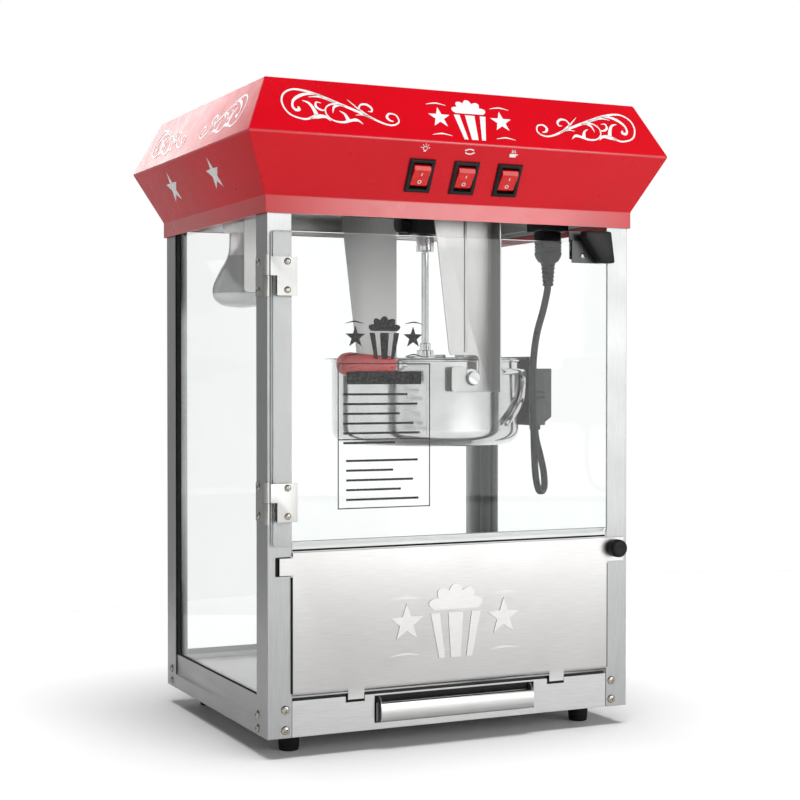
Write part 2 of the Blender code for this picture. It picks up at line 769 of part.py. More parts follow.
def make_trunnions(origin):
    centre_y = KETTLE_CENTRE[1]
    offset = TILT_AXIS[0] - KETTLE_CENTRE[0]
    wall = math.sqrt(KETTLE_RADIUS**2 - offset**2) + 2 * GAP
    for name, sign in (("front", -1), ("rear", 1)):
        collar = sign * (HANGER_INNER_Y - 0.8)
        start = centre_y + sign * wall
        end = sign * (HANGER_INNER_Y + SHEET + 5.0)
        profile = [(10.0, start), (10.0, collar), (TRUNNION_RADIUS, collar), (TRUNNION_RADIUS, end)]
        bm = bmesh.new()
        turned(bm, profile, TILT_AXIS, 24, "Y")
        object_from(f"trunnion_{name}", bm, polished_steel(), origin, smooth=True)


def stay_point(angle, z):
    """A point just outside the kettle's wall. The angle runs from the front towards the right."""
    reach = KETTLE_RADIUS + 4.4
    x = KETTLE_CENTRE[0] + reach * math.sin(math.radians(angle))
    y = KETTLE_CENTRE[1] - reach * math.cos(math.radians(angle))
    return Vector((x, y, z))


def make_kettle_fittings(origin):
    # Grip: turned about an axis along X, fat and round at its free end
    bm = bmesh.new()
    profile = [(5.0, -33.0), (8.0, -35.5), (9.6, -42.0), (10.4, -57.0), (12.0, -76.0)]
    profile += [(12.4, -84.0), (11.2, -91.5), (7.5, -96.5), (2.0, -98.0)]
    turned(bm, profile, (-84.0, 385.5), SMALL_ROUND, "X")
    object_from("kettle_grip", bm, red_plastic(), origin, smooth=True)

    # Stay rod: two legs along the wall joined by one bend
    path = [stay_point(20.0 + 6.5 * i, 378.0) for i in range(6)]
    path += [stay_point(58.5, 376.5), stay_point(62.0, 371.5), stay_point(61.5, 365.0)]
    path += [stay_point(59.0 - 6.4 * i, 358.5 - 7.5 * i) for i in range(6)]
    rod_object("kettle_stay", path, 3.5, polished_steel(), origin)

    # Terminal box: a cover on a taller back plate beside the wall
    plate = KETTLE_CENTRE[0] + KETTLE_RADIUS + 2.0
    right = plate + 29.0
    outline = [(plate, 318.0), (plate, 395.0), (plate + SHEET, 395.0), (plate + SHEET, 381.6)]
    outline += [(right, 381.6), (right, 327.0), (right - 8.0, 321.5), (right - 8.0, 318.0)]
    bm = bmesh.new()
    prism(bm, outline, -49.0, 45.0)
    object_from("terminal_box", bm, brushed_steel(), origin)

    # Crossbar over the rim, with a hole for the stirrer rod
    low = KETTLE_RIM + GAP
    bm = bmesh.new()
    x, y = KETTLE_CENTRE
    box(bm, (x - CROSSBAR_HALF_X, y - 103.0, low), (x + CROSSBAR_HALF_X, y + 103.0, low + 2.0))
    bar = object_from("kettle_crossbar", bm, brushed_steel(), origin)
    hole = bmesh.new()
    turned(hole, [(ROD_RADIUS + 0.9, low - 5.0), (ROD_RADIUS + 0.9, low + 5.0)], KETTLE_CENTRE)
    boolean(bar, helper("rod_hole", hole), "DIFFERENCE")


def make_lids():
    x, y = KETTLE_CENTRE
    low = KETTLE_RIM + GAP
    edge = CROSSBAR_HALF_X + 0.6
    reach = math.degrees(math.acos(edge / LID_RADIUS))
    tab = math.degrees(math.asin(LID_TAB_HALF / LID_RADIUS))
    tab_end = LID_RADIUS + LID_TAB_REACH
    tip = LID_TAB_HALF - 2.0
    plain = arc((0.0, 0.0), LID_RADIUS, -reach, reach, 20)
    tabbed = arc((0.0, 0.0), LID_RADIUS, -reach, -tab, 10)
    tabbed += [(tab_end, -tip), (tab_end, tip)]
    tabbed += arc((0.0, 0.0), LID_RADIUS, tab, reach, 10)
    for name, sign, outline in (("left", -1, tabbed), ("right", 1, plain)):
        bm = bmesh.new()
        prism(bm, [(x + sign * u, y + v) for u, v in outline], low, low + THIN_SHEET, "Z")
        object_from(f"kettle_lid_{name}", bm, polished_steel(), (x + sign * edge, y, LID_HINGE_Z))


def make_stirrer():
    origin = (*KETTLE_CENTRE, KETTLE_RIM)
    floor = KETTLE_BOTTOM + 16.0 + THIN_SHEET
    bm = bmesh.new()
    profile = [
        (5.6, floor + 6.0),
        (5.6, floor + 14.0),
        (ROD_RADIUS, floor + 14.0),
        (ROD_RADIUS, KETTLE_RIM + 3.3),
        (9.5, KETTLE_RIM + 3.3),
        (9.5, KETTLE_RIM + 11.0),
        (6.2, KETTLE_RIM + 11.0),
        (6.2, KETTLE_RIM + 19.0),
        (ROD_RADIUS, KETTLE_RIM + 19.0),
        (ROD_RADIUS, ROD_TOP),
    ]
    turned(bm, profile, KETTLE_CENTRE)
    rod = object_from("stirrer_rod", bm, polished_steel(), origin, smooth=True)

    # Arm: one flat bar welded under the rod, its two ends swept opposite ways
    half = [(9.0, -7.0), (60.0, -4.0), (84.0, -14.0), (88.0, -8.0), (64.0, 5.0), (9.0, 7.0)]
    outline = half + [(-u, -v) for u, v in half]
    bm = bmesh.new()
    x, y = KETTLE_CENTRE
    prism(bm, [(x + u, y + v) for u, v in outline], floor + 1.5, floor + 7.0, "Z")
    boolean(rod, helper("stirrer_arm", bm), "UNION")

    bm = bmesh.new()
    profile = [
        (COUPLING_RADIUS - 1.0, ROD_TOP + 0.6),
        (COUPLING_RADIUS, ROD_TOP + 1.8),
        (COUPLING_RADIUS, MOTOR_BOTTOM - GAP),
    ]
    turned(bm, profile, KETTLE_CENTRE)
    origin = (*KETTLE_CENTRE, MOTOR_BOTTOM)
    object_from("drive_coupling", bm, brushed_steel(), origin, smooth=True)


def make_motor():
    x, y = KETTLE_CENTRE
    low = (x - 19.0, y - 17.0, MOTOR_BOTTOM)
    gearbox = box_object("stir_motor", low, (x + 14.0, y + 30.0, CEILING_Z - GAP), black_plastic())
    can = bmesh.new()
    turned(can, [(11.0, x - 32.0), (11.0, x - 15.0)], (y + 4.0, MOTOR_BOTTOM + 13.0), axis="X")
    boolean(gearbox, helper("motor_can", can), "UNION")


def hanger_outline():
    """The front view of a hanger: a plate with an L-shaped slot open to the left."""
    pin_x, pin_z = TILT_AXIS
    seat = TRUNNION_RADIUS + 0.6
    slot_top, slot_bottom = pin_z + 24.0, pin_z + 12.0
    left = pin_x - 24.5
    outline = [(HANGER_RIGHT, HANGER_BOTTOM), (HANGER_RIGHT, CEILING_Z - GAP)]
    outline += [(-6.5, CEILING_Z - GAP), (left - 3.0, slot_top + 3.0)]
    outline += arc((left + 0.5, slot_top + 3.0), 3.0, 190, 270, 3)
    outline += arc((pin_x + seat - 6.0, slot_top - 6.0), 6.0, 90, 0)
    outline += arc((pin_x, pin_z), seat, 0, -180, 10)
    outline += arc((pin_x - seat - 4.0, slot_bottom - 4.0), 4.0, 0, 90)
    outline += arc((left + 3.0, slot_bottom - 3.0), 3.0, 90, 180, 3)
    outline += arc((left + 3.0, HANGER_BOTTOM + 3.0), 3.0, 180, 270, 3)
    return outline


def make_hangers():
    for name, sign in (("front", -1), ("rear", 1)):
        inner, outer = sign * HANGER_INNER_Y, sign * (HANGER_INNER_Y + SHEET)
        bm = bmesh.new()
        prism(bm, hanger_outline(), inner, outer)
        hanger = object_from(f"hanger_{name}", bm, brushed_steel())
        ends = sorted((inner, sign * (HANGER_INNER_Y + 20.5)))
        flange = bmesh.new()
        low = (HANGER_RIGHT - SHEET, ends[0], HANGER_BOTTOM)
        box(flange, low, (HANGER_RIGHT, ends[1], CEILING_Z - GAP))
        boolean(hanger, helper(f"hanger_flange_{name}", flange), "UNION")


def make_lamp():
    bm = bmesh.new()
    top = CEILING_Z - GAP
    neck_top = LAMP_FACE_Z + 82.0
    profile = [(17.0, neck_top + GAP), (20.0, neck_top + 3.0), (20.0, top)]
    turned(bm, profile, LAMP_CENTRE, 24)
    object_from("lamp_holder", bm, white_ceramic(), smooth=True)

    bm = bmesh.new()
    profile = [
        (8.0, LAMP_FACE_Z),
        (22.0, LAMP_FACE_Z + 3.0),
        (29.5, LAMP_FACE_Z + 9.0),
        (31.5, LAMP_FACE_Z + 17.0),
        (30.0, LAMP_FACE_Z + 26.0),
        (23.5, LAMP_FACE_Z + 40.0),
        (16.5, LAMP_FACE_Z + 53.0),
        (13.5, LAMP_FACE_Z + 62.0),
        (13.0, neck_top),
    ]
    turned(bm, profile, LAMP_CENTRE, 28)
    object_from("warmer_bulb", bm, frosted_glass(), smooth=True)

    bm = bmesh.new()
    outline = arc((-161.0, 467.0), 4.0, 180, 270) + [(-115.0, 463.0), (-115.0, top)]
    prism(bm, outline + [(-165.0, top)], 8.0, 8.0 + THIN_SHEET)
    object_from("bulb_shield", bm, brushed_steel())


def make_lead():
    x, y = SOCKET_CENTRE
    low = (x - 17.0, y - 17.0, PLUG_TOP + GAP)
    box_object("kettle_socket", low, (x + 17.0, y + 17.0, CEILING_Z - GAP), black_plastic())
    bm = bmesh.new()
    sections = [
        (5.0, 4.6, PLUG_BOTTOM),
        (6.5, 5.6, PLUG_BOTTOM + 14.0),
        (11.0, 8.5, PLUG_BOTTOM + 20.0),
        (13.2, 10.0, PLUG_BOTTOM + 30.0),
        (13.2, 10.0, PLUG_TOP),
    ]
    loft(bm, [rectangle(half_x, half_y, z, SOCKET_CENTRE) for half_x, half_y, z in sections])
    object_from("kettle_plug", bm, black_plastic())
    rod_object("kettle_cord", smooth_path(CORD_ROUTE, 9.0), CORD_RADIUS, black_rubber())


def make_mains_gland():
    bm = bmesh.new()
    start = BODY_HALF_Y + GAP
    profile = [(9.0, start), (9.0, start + 4.0), (6.0, start + 5.0), (4.5, start + 16.0)]
    turned(bm, profile, (150.0, BODY_BOTTOM + 20.0), axis="Y")
    object_from("mains_gland", bm, black_rubber(), smooth=True)


def main():
    clear_scene()
    make_feet()
    make_base()
    make_rails()
    make_posts()
    make_glazing()
    make_deck()
    make_ceiling()
    make_roof()
    make_switches()
    make_door()
    make_serving_panel()
    make_drawer()
    make_hangers()
    make_kettle()
    make_lids()
    make_stirrer()
    make_motor()
    make_lamp()
    make_lead()
    make_mains_gland()


main()
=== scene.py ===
"""Looks of the countertop popcorn machine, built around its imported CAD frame.

The modelling functions work in millimetres, in the frame's own axes, and write
meshes in metres. Sizes come from the CAD nodes wherever a node holds them.
"""

import json
import math

import bmesh
import bpy
from mathutils import Matrix, Vector


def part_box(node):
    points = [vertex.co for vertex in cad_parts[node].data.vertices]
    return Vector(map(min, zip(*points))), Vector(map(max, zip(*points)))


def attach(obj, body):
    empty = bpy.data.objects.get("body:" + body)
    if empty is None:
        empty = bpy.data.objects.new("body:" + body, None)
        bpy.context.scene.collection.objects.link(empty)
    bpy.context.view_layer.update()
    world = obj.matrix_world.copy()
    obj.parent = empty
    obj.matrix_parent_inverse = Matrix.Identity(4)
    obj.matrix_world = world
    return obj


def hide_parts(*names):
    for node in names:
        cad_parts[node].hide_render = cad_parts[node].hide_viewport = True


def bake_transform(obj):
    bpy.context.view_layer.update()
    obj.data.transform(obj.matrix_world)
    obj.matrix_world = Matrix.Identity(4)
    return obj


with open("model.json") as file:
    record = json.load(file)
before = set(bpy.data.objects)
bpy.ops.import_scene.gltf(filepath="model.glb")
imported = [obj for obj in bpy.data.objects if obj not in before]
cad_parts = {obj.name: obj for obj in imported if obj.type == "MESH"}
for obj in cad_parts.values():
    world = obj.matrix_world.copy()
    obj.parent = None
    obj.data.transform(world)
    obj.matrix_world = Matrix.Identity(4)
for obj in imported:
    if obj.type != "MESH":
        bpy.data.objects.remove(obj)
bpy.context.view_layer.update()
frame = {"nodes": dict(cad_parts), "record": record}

MM = 0.001
WELD = 0.002  # points of a CAD mesh this near each other are one point
INK = 0.12  # thickness of printed decoration
BODY_OF = {
    node: body
    for body, nodes in frame["record"]["behaviour"]["bodies"].items()
    for node in nodes
}


def span(node):
    """The lowest and highest corner of a CAD node."""
    low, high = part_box(node)
    return low / MM, high / MM


def middle(node):
    low, high = span(node)
    return (low + high) / 2.0


# Roof folds: half width, half depth and height
ROOF_LOW, ROOF_HIGH = span("roof_shell")
ROOF_LIP_BOTTOM = (207.9, 166.1, ROOF_LOW.z)
ROOF_LIP_TOP = (207.9, 166.1, 548.0)
ROOF_WIDEST = (ROOF_HIGH.x, ROOF_HIGH.y, 605.0)
ROOF_TOP = (209.0, 168.7, ROOF_HIGH.z)
LOWER_SLOPE = (ROOF_LIP_TOP, ROOF_WIDEST)
UPPER_SLOPE = (ROOF_WIDEST, ROOF_TOP)
ROOF_SHEET = 1.5
FRONT, LEFT, RIGHT = 0.0, -90.0, 90.0

SWITCH_XS = {name: middle(f"switch_bezel_{name}").x for name in ("light", "stirrer", "kettle")}
SWITCH_UP_SLOPE = 28.0
ROCKER_TILT = math.radians(13.0)
ROCKER_PIVOT_DEPTH = 2.0

POST_LOW, POST_HIGH = span("post_front_left")
BODY_LEFT, BODY_FRONT = POST_LOW.x, POST_LOW.y
PANEL_FACE = -165.3
POST_SCREW_X = 186.3
HINGE_LEAF_FRONT = span("door_clip")[0].y
LABEL_LEFT, LABEL_RIGHT = -133.0, -32.0
LABEL_LOW, LABEL_HIGH = 242.0, 386.0
LABEL_LINE = 1.1
LABEL_ROW_HEIGHT, LABEL_ROW_PITCH = 2.2, 9.6
LABEL_UPPER_ROWS = 6
LABEL_ROWS = (0.82, 0.95, 0.72, 0.90, 0.98, 0.66, 0.92, 0.60, 0.86, 0.70, 0.93)  # shares of the width

KETTLE_CENTRE = (43.0, -2.0)
KETTLE_RADIUS = 104.5
KETTLE_BOTTOM = span("kettle_shell")[0].z
KETTLE_RIM = span("kettle_shell")[1].z
RIM_ROLL = 1.4
LID_RADIUS = 103.0
LID_CUT = 12.6  # from the kettle's centre to the straight edge of a lid
HANGER_FACE = 121.0
RIVET = ((3.4, 0.0), (3.4, 0.5), (2.8, 1.2), (1.2, 1.6))  # radius, and height over the face

# Points that the lead passes through, ending at its grommet on the kettle
CORD_WIDTH = 7.6
CORD_SIDES = 24
CORD_ROUTE = (
    (151.0, -88.0, 477.0),
    (150.0, -88.0, 466.0),
    (146.0, -86.0, 445.0),
    (140.0, -83.0, 420.0),
    (137.5, -80.0, 392.0),
    (138.5, -77.0, 360.0),
    (141.0, -74.0, 326.0),
    (143.5, -71.0, 292.0),
    (147.0, -68.0, 264.0),
    (152.0, -65.0, 248.5),
    (159.0, -60.0, 243.5),
    (167.0, -53.0, 250.0),
    (170.0, -46.0, 266.0),
    (168.5, -40.0, 286.0),
    (166.0, -36.0, 303.0),
    (165.0, -35.0, 316.5),
)

CAMERA_PLACE = (-0.761, -1.653, 0.3733)
CAMERA_TURN = (math.radians(89.16), 0.0, math.radians(-25.1))
CAMERA_LENS, CAMERA_SENSOR = 73.85, 36.0

# Studio: radiances as the finished picture sees them, with 1 for white
KEY_RADIANCE = 4.5
REAR_RADIANCE = 3.0
OVERHEAD_STRENGTH = 3.6
FLOOR_COLOUR = (0.70, 0.70, 0.70)
WORLD_DIM = 0.50
WORLD_BRIGHT = 0.70
WORLD_TOP = 0.2
BRIGHT_SIDE = (0.45, -0.89, 0.0)


# ---------------------------------------------------------------- materials


def finish(name, colour, roughness, **sockets):
    made = bpy.data.materials.new(name)
    made.use_nodes = True
    shader = made.node_tree.nodes["Principled BSDF"]
    shader.inputs["Base Color"].default_value = (*colour, 1.0)
    shader.inputs["Roughness"].default_value = roughness
    for socket, value in sockets.items():
        shader.inputs[socket.replace("_", " ")].default_value = value
    return made


def shader_of(made):
    return made.node_tree.nodes["Principled BSDF"]


def noise(made, scale, stretch=(1.0, 1.0, 1.0), detail=4.0):
    """A noise pattern that stays with the piece. Scale counts its grains in a metre."""
    tree = made.node_tree
    place = tree.nodes.new("ShaderNodeTexCoord")
    mapping = tree.nodes.new("ShaderNodeMapping")
    mapping.inputs["Scale"].default_value = stretch
    pattern = tree.nodes.new("ShaderNodeTexNoise")
    pattern.inputs["Scale"].default_value = scale
    pattern.inputs["Detail"].default_value = detail
    tree.links.new(place.outputs["Object"], mapping.inputs["Vector"])
    tree.links.new(mapping.outputs["Vector"], pattern.inputs["Vector"])
    return pattern.outputs["Fac"]


def ranged(made, source, low, high):
    """The middle of a pattern's range, spread from low to high."""
    tree = made.node_tree
    spread = tree.nodes.new("ShaderNodeMapRange")
    spread.inputs["From Min"].default_value = 0.3
    spread.inputs["From Max"].default_value = 0.7
    spread.inputs["To Min"].default_value = low
    spread.inputs["To Max"].default_value = high
    tree.links.new(source, spread.inputs["Value"])
    return spread.outputs["Result"]


def vary_roughness(made, source, low, high):
    made.node_tree.links.new(ranged(made, source, low, high), shader_of(made).inputs["Roughness"])


def vary_colour(made, source, dark, light):
    tree = made.node_tree
    mix = tree.nodes.new("ShaderNodeMix")
    mix.data_type = "RGBA"
    mix.inputs["A"].default_value = (*dark, 1.0)
    mix.inputs["B"].default_value = (*light, 1.0)
    tree.links.new(ranged(made, source, 0.0, 1.0), mix.inputs["Factor"])
    tree.links.new(mix.outputs["Result"], shader_of(made).inputs["Base Color"])


def relief(made, source, height, strength=0.5):
    """Adds a bump, with its height in millimetres, on top of the bumps already there."""
    tree = made.node_tree
    bump = tree.nodes.new("ShaderNodeBump")
    bump.inputs["Strength"].default_value = strength
    bump.inputs["Distance"].default_value = height * MM
    tree.links.new(source, bump.inputs["Height"])
    normal = shader_of(made).inputs["Normal"]
    if normal.is_linked:
        tree.links.new(normal.links[0].from_socket, bump.inputs["Normal"])
    tree.links.new(bump.outputs["Normal"], normal)


def red_paint(name, gloss):
    """Powder coat: a fine orange peel, and slow changes of shade and gloss."""
    made = finish(name, (0.50, 0.001, 0.008), 0.30, Specular_IOR_Level=gloss)
    vary_colour(made, noise(made, 9.0), (0.47, 0.0005, 0.006), (0.53, 0.001, 0.009))
    vary_roughness(made, noise(made, 60.0), 0.27, 0.34)
    relief(made, noise(made, 260.0, detail=1.0), 0.01, 0.15)
    return made


def grained_metal(name, grain, dark, light, rough, height):
    """Metal brushed along one axis, with cloudy handling marks over the grain."""
    made = finish(name, light, rough, Metallic=1.0)
    along = {"X": (0.03, 1.0, 1.0), "Y": (1.0, 0.03, 1.0), "Z": (1.0, 1.0, 0.03)}[grain]
    streaks = noise(made, 1500.0, along, 3.0)
    vary_colour(made, streaks, dark, light)
    tree = made.node_tree
    clouds = noise(made, 16.0, detail=6.0)
    total = tree.nodes.new("ShaderNodeMath")
    total.operation = "ADD"
    tree.links.new(ranged(made, streaks, -0.03, 0.03), total.inputs[0])
    tree.links.new(ranged(made, clouds, rough - 0.03, rough + 0.05), total.inputs[1])
    tree.links.new(total.outputs["Value"], shader_of(made).inputs["Roughness"])
    relief(made, streaks, height, 0.25)
    return made


def polished_steel():
    made = finish("polished_steel", (0.60, 0.60, 0.59), 0.12, Metallic=1.0)
    rings = noise(made, 420.0, (0.05, 0.05, 1.0), 4.0)
    vary_colour(made, noise(made, 22.0), (0.54, 0.54, 0.535), (0.66, 0.66, 0.655))
    vary_roughness(made, noise(made, 34.0, detail=7.0), 0.07, 0.19)
    relief(made, rings, 0.02, 0.25)
    return made


def with_clear_shadow(made):
    """Lets lamps through a glass material."""
    tree = made.node_tree
    path = tree.nodes.new("ShaderNodeLightPath")
    clear = tree.nodes.new("ShaderNodeBsdfTransparent")
    mix = tree.nodes.new("ShaderNodeMixShader")
    output = tree.nodes["Material Output"]
    tree.links.new(path.outputs["Is Shadow Ray"], mix.inputs["Fac"])
    tree.links.new(shader_of(made).outputs["BSDF"], mix.inputs[1])
    tree.links.new(clear.outputs["BSDF"], mix.inputs[2])
    tree.links.new(mix.outputs["Shader"], output.inputs["Surface"])
    return made


def clear_glass():
    """Tempered glass with the faintest haze of handling."""
    made = finish("clear_glass", (0.975, 0.99, 0.985), 0.0, IOR=1.27, Transmission_Weight=1.0)
    vary_roughness(made, noise(made, 26.0, detail=6.0), 0.0, 0.03)
    vary_colour(made, noise(made, 7.0), (0.965, 0.982, 0.978), (0.985, 0.995, 0.992))
    return with_clear_shadow(made)


def ground_edge():
    made = finish("ground_edge", (0.34, 0.40, 0.38), 0.5, Coat_Weight=0.3)
    grain = noise(made, 900.0)
    vary_colour(made, grain, (0.26, 0.32, 0.30), (0.44, 0.50, 0.47))
    relief(made, grain, 0.05)
    return made


def moulded(name, dark, light, low, high):
    """Moulded plastic or rubber: spark-eroded texture and uneven gloss."""
    made = finish(name, light, (low + high) / 2.0, Specular_IOR_Level=0.15)
    vary_colour(made, noise(made, 30.0), dark, light)
    vary_roughness(made, noise(made, 90.0, detail=5.0), low, high)
    relief(made, noise(made, 1400.0, detail=3.0), 0.08, 0.4)
    return made


def red_rocker():
    made = finish("red_rocker", (0.55, 0.004, 0.002), 0.22, Specular_IOR_Level=0.4)
    vary_colour(made, noise(made, 160.0), (0.46, 0.002, 0.001), (0.60, 0.006, 0.003))
    relief(made, noise(made, 1100.0), 0.03, 0.3)
    return made


def red_plastic():
    made = finish("red_plastic", (0.36, 0.005, 0.005), 0.20)
    vary_colour(made, noise(made, 45.0), (0.30, 0.003, 0.003), (0.40, 0.006, 0.006))
    vary_roughness(made, noise(made, 120.0), 0.14, 0.26)
    relief(made, noise(made, 900.0), 0.02, 0.3)
    return made


def bulb_glass(name, colour, low, high, metallic):
    made = finish(name, colour, low, Metallic=metallic, Coat_Weight=0.5, Coat_Roughness=0.05)
    darker = tuple(0.88 * c for c in colour)
    vary_colour(made, noise(made, 40.0), darker, colour)
    vary_roughness(made, noise(made, 200.0), low, high)
    return made


def white_ink():
    made = finish("white_ink", (0.70, 0.70, 0.70), 0.30, Specular_IOR_Level=0.26)
    vary_colour(made, noise(made, 300.0, detail=6.0), (0.64, 0.64, 0.64), (0.74, 0.74, 0.74))
    relief(made, noise(made, 1500.0), 0.02, 0.3)
    return made


def black_ink():
    made = finish("black_ink", (0.03, 0.03, 0.03), 0.5, Specular_IOR_Level=0.1)
    vary_colour(made, noise(made, 400.0, detail=6.0), (0.02, 0.02, 0.02), (0.06, 0.06, 0.06))
    return made


def ceramic():
    made = finish("ceramic", (0.82, 0.81, 0.78), 0.35, Coat_Weight=0.4)
    vary_colour(made, noise(made, 80.0), (0.74, 0.73, 0.70), (0.85, 0.84, 0.81))
    relief(made, noise(made, 600.0), 0.06)
    return made


def cast_aluminium():
    made = finish("heater_casting", (0.55, 0.55, 0.55), 0.55, Metallic=1.0)
    vary_colour(made, noise(made, 200.0), (0.42, 0.42, 0.42), (0.62, 0.62, 0.61))
    relief(made, noise(made, 450.0, detail=6.0), 0.3)
    return made


def make_finishes():
    steel_dark, steel_light = (0.41, 0.407, 0.401), (0.47, 0.467, 0.46)
    grey_dark, grey_light = (0.29, 0.287, 0.281), (0.35, 0.347, 0.341)
    alu_dark, alu_light = (0.26, 0.263, 0.263), (0.31, 0.313, 0.313)
    # lit_rail_dark and lit_rail_light are the satin aluminium made lighter than on the posts and side rails:
    # painted light, for the front rail that faces the key
    lit_rail_dark, lit_rail_light = (0.36, 0.363, 0.363), (0.42, 0.423, 0.423)
    box_dark, box_light = (0.045, 0.047, 0.047), (0.075, 0.077, 0.077)
    return {
        "red_paint": red_paint("red_paint", 0.24),
        "red_paint_bend": red_paint("red_paint_bend", 0.9),
        "steel_x": grained_metal("brushed_steel", "X", steel_dark, steel_light, 0.36, 0.05),
        "steel_z": grained_metal("brushed_steel_upright", "Z", grey_dark, grey_light, 0.33, 0.04),
        "steel_dark": grained_metal("box_steel", "Z", box_dark, box_light, 0.4, 0.05),
        # The rails along X, the base pan and the crossbar take this lighter aluminium, a painted light
        "alu_x": grained_metal("satin_aluminium", "X", lit_rail_dark, lit_rail_light, 0.38, 0.03),
        "alu_y": grained_metal("satin_aluminium_deep", "Y", alu_dark, alu_light, 0.38, 0.03),
        "alu_z": grained_metal("satin_aluminium_upright", "Z", alu_dark, alu_light, 0.38, 0.03),
        "screw": grained_metal("screw_steel", "X", (0.30, 0.27, 0.23), (0.40, 0.37, 0.32), 0.26, 0.02),
        "hanger": grained_metal("hanger_steel", "Z", (0.30, 0.298, 0.293), (0.36, 0.357, 0.351), 0.42, 0.03),
        "hinge": grained_metal("hinge_steel", "Z", (0.28, 0.28, 0.276), (0.34, 0.34, 0.334), 0.36, 0.03),
        "polished": polished_steel(),
        "glass": clear_glass(),
        "glass_edge": ground_edge(),
        "black_plastic": moulded("black_plastic", (0.006, 0.006, 0.007), (0.016, 0.016, 0.017), 0.34, 0.50),
        "black_rubber": moulded("black_rubber", (0.004, 0.004, 0.004), (0.010, 0.010, 0.010), 0.62, 0.82),
        "lead": moulded("lead_rubber", (0.015, 0.016, 0.016), (0.030, 0.031, 0.031), 0.42, 0.58),
        "red_rocker": red_rocker(),
        "red_plastic": red_plastic(),
        "bulb_neck": bulb_glass("bulb_neck", (0.74, 0.74, 0.73), 0.14, 0.24, 0.7),
        "bulb_body": bulb_glass("bulb_body", (0.17, 0.178, 0.178), 0.14, 0.26, 0.6),
        "bulb_face": bulb_glass("frosted_glass", (0.60, 0.61, 0.60), 0.38, 0.50, 0.0),
        "white_ink": white_ink(),
        "black_ink": black_ink(),
        "ceramic": ceramic(),
        "casting": cast_aluminium(),
    }


FINISH = make_finishes()


# ---------------------------------------------------------------- mesh tools


def loft(bm, loops, ring=False):
    """Skins a list of equal loops of points: capped at both ends, or closed into a ring."""
    rows = [[bm.verts.new(point) for point in loop] for loop in loops]
    pairs = list(zip(rows, rows[1:]))
    if ring:
        pairs.append((rows[-1], rows[0]))
    else:
        bm.faces.new(rows[0])
        bm.faces.new(rows[-1])
    for low, high in pairs:
        for i in range(len(low)):
            j = (i + 1) % len(low)
            bm.faces.new((low[i], low[j], high[j], high[i]))


def arc(centre, radius, start, end, steps=8):
    """Points of an arc in a plane, both ends included. Angles are in degrees."""
    points = []
    for i in range(steps + 1):
        angle = math.radians(start + (end - start) * i / steps)
        points.append((centre[0] + radius * math.cos(angle), centre[1] + radius * math.sin(angle)))
    return points


def circle(radius, along, centre, sides, axis):
    loop = []
    for i in range(sides):
        angle = 2.0 * math.pi * i / sides
        u = centre[0] + radius * math.cos(angle)
        v = centre[1] + radius * math.sin(angle)
        loop.append({"X": (along, u, v), "Y": (u, along, v), "Z": (u, v, along)}[axis])
    return loop


def turned(bm, profile, centre, sides=48, axis="Z", ring=False):
    loft(bm, [circle(radius, along, centre, sides, axis) for radius, along in profile], ring)


def prism(bm, outline, start, end, place):
    """Extrudes an outline. place turns (u, v, w) into a point, with w along the extrusion."""
    loft(bm, [[place(u, v, w) for u, v in outline] for w in (start, end)])


def along_z(u, v, w):
    return (u, v, w)


def in_frame(matrix):
    """A place function for prism, in a frame of its own."""
    return lambda u, v, w: matrix @ Vector((u, v, w))


def rounded_box(bm, low, high, radius, segments=3):
    """A box with all its edges rounded."""
    centre = [(a + b) / 2.0 for a, b in zip(low, high)]
    size = [b - a for a, b in zip(low, high)]
    made = bmesh.ops.create_cube(bm, size=1.0)["verts"]
    for vert in made:
        vert.co = Vector([c + s * x for c, s, x in zip(centre, size, vert.co)])
    edges = list({edge for vert in made for edge in vert.link_edges})
    bmesh.ops.bevel(
        bm, geom=edges, offset=radius, segments=segments, profile=0.5, affect="EDGES", clamp_overlap=True
    )


def smooth(points, steps=8):
    """Points along the Catmull-Rom curve through a few points of any dimension."""
    ends = [points[0], *points, points[-1]]
    rows = [Vector(point) for point in ends]
    fine = [rows[1]]
    for before, start, end, after in zip(rows, rows[1:], rows[2:], rows[3:]):
        for i in range(1, steps + 1):
            t = i / steps
            linear = (end - before) * t
            square = (2 * before - 5 * start + 4 * end - after) * t**2
            cube = (3 * start - before - 3 * end + after) * t**3
            fine.append(start + (linear + square + cube) / 2.0)
    return fine


def shade(obj, angle=35.0):
    obj.data.shade_smooth()
    obj.data.set_sharp_from_angle(angle=math.radians(angle))


def to_object(name, bm):
    """Closes a bmesh in millimetres into an object of the scene, in metres."""
    bmesh.ops.recalc_face_normals(bm, faces=bm.faces)
    bm.transform(Matrix.Scale(MM, 4))
    mesh = bpy.data.meshes.new(name)
    bm.to_mesh(mesh)
    bm.free()
    made = bpy.data.objects.new(name, mesh)
    bpy.context.scene.collection.objects.link(made)
    return made


def piece(name, body, bm, finish_name, replaces=(), sharp=35.0):
    """A piece that rides on a CAD body."""
    made = to_object(name, bm)
    made.data.materials.append(FINISH[finish_name])
    shade(made, sharp)
    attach(made, body)
    if replaces:
        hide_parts(*replaces)
    return made


def turned_piece(
    name, body, profile, centre, sides, finish_name, replaces=(), axis="Z", ring=False, sharp=35.0
):
    """A piece made by turning a profile of (radius, place along the axis)."""
    bm = bmesh.new()
    turned(bm, profile, centre, sides, axis, ring)
    return piece(name, body, bm, finish_name, replaces, sharp)


def bevel(obj, width, segments=2, angle=40.0):
    modifier = obj.modifiers.new("rounding", "BEVEL")
    modifier.width = width * MM
    modifier.segments = segments
    modifier.limit_method = "ANGLE"
    modifier.angle_limit = math.radians(angle)
    modifier.harden_normals = True
    return obj


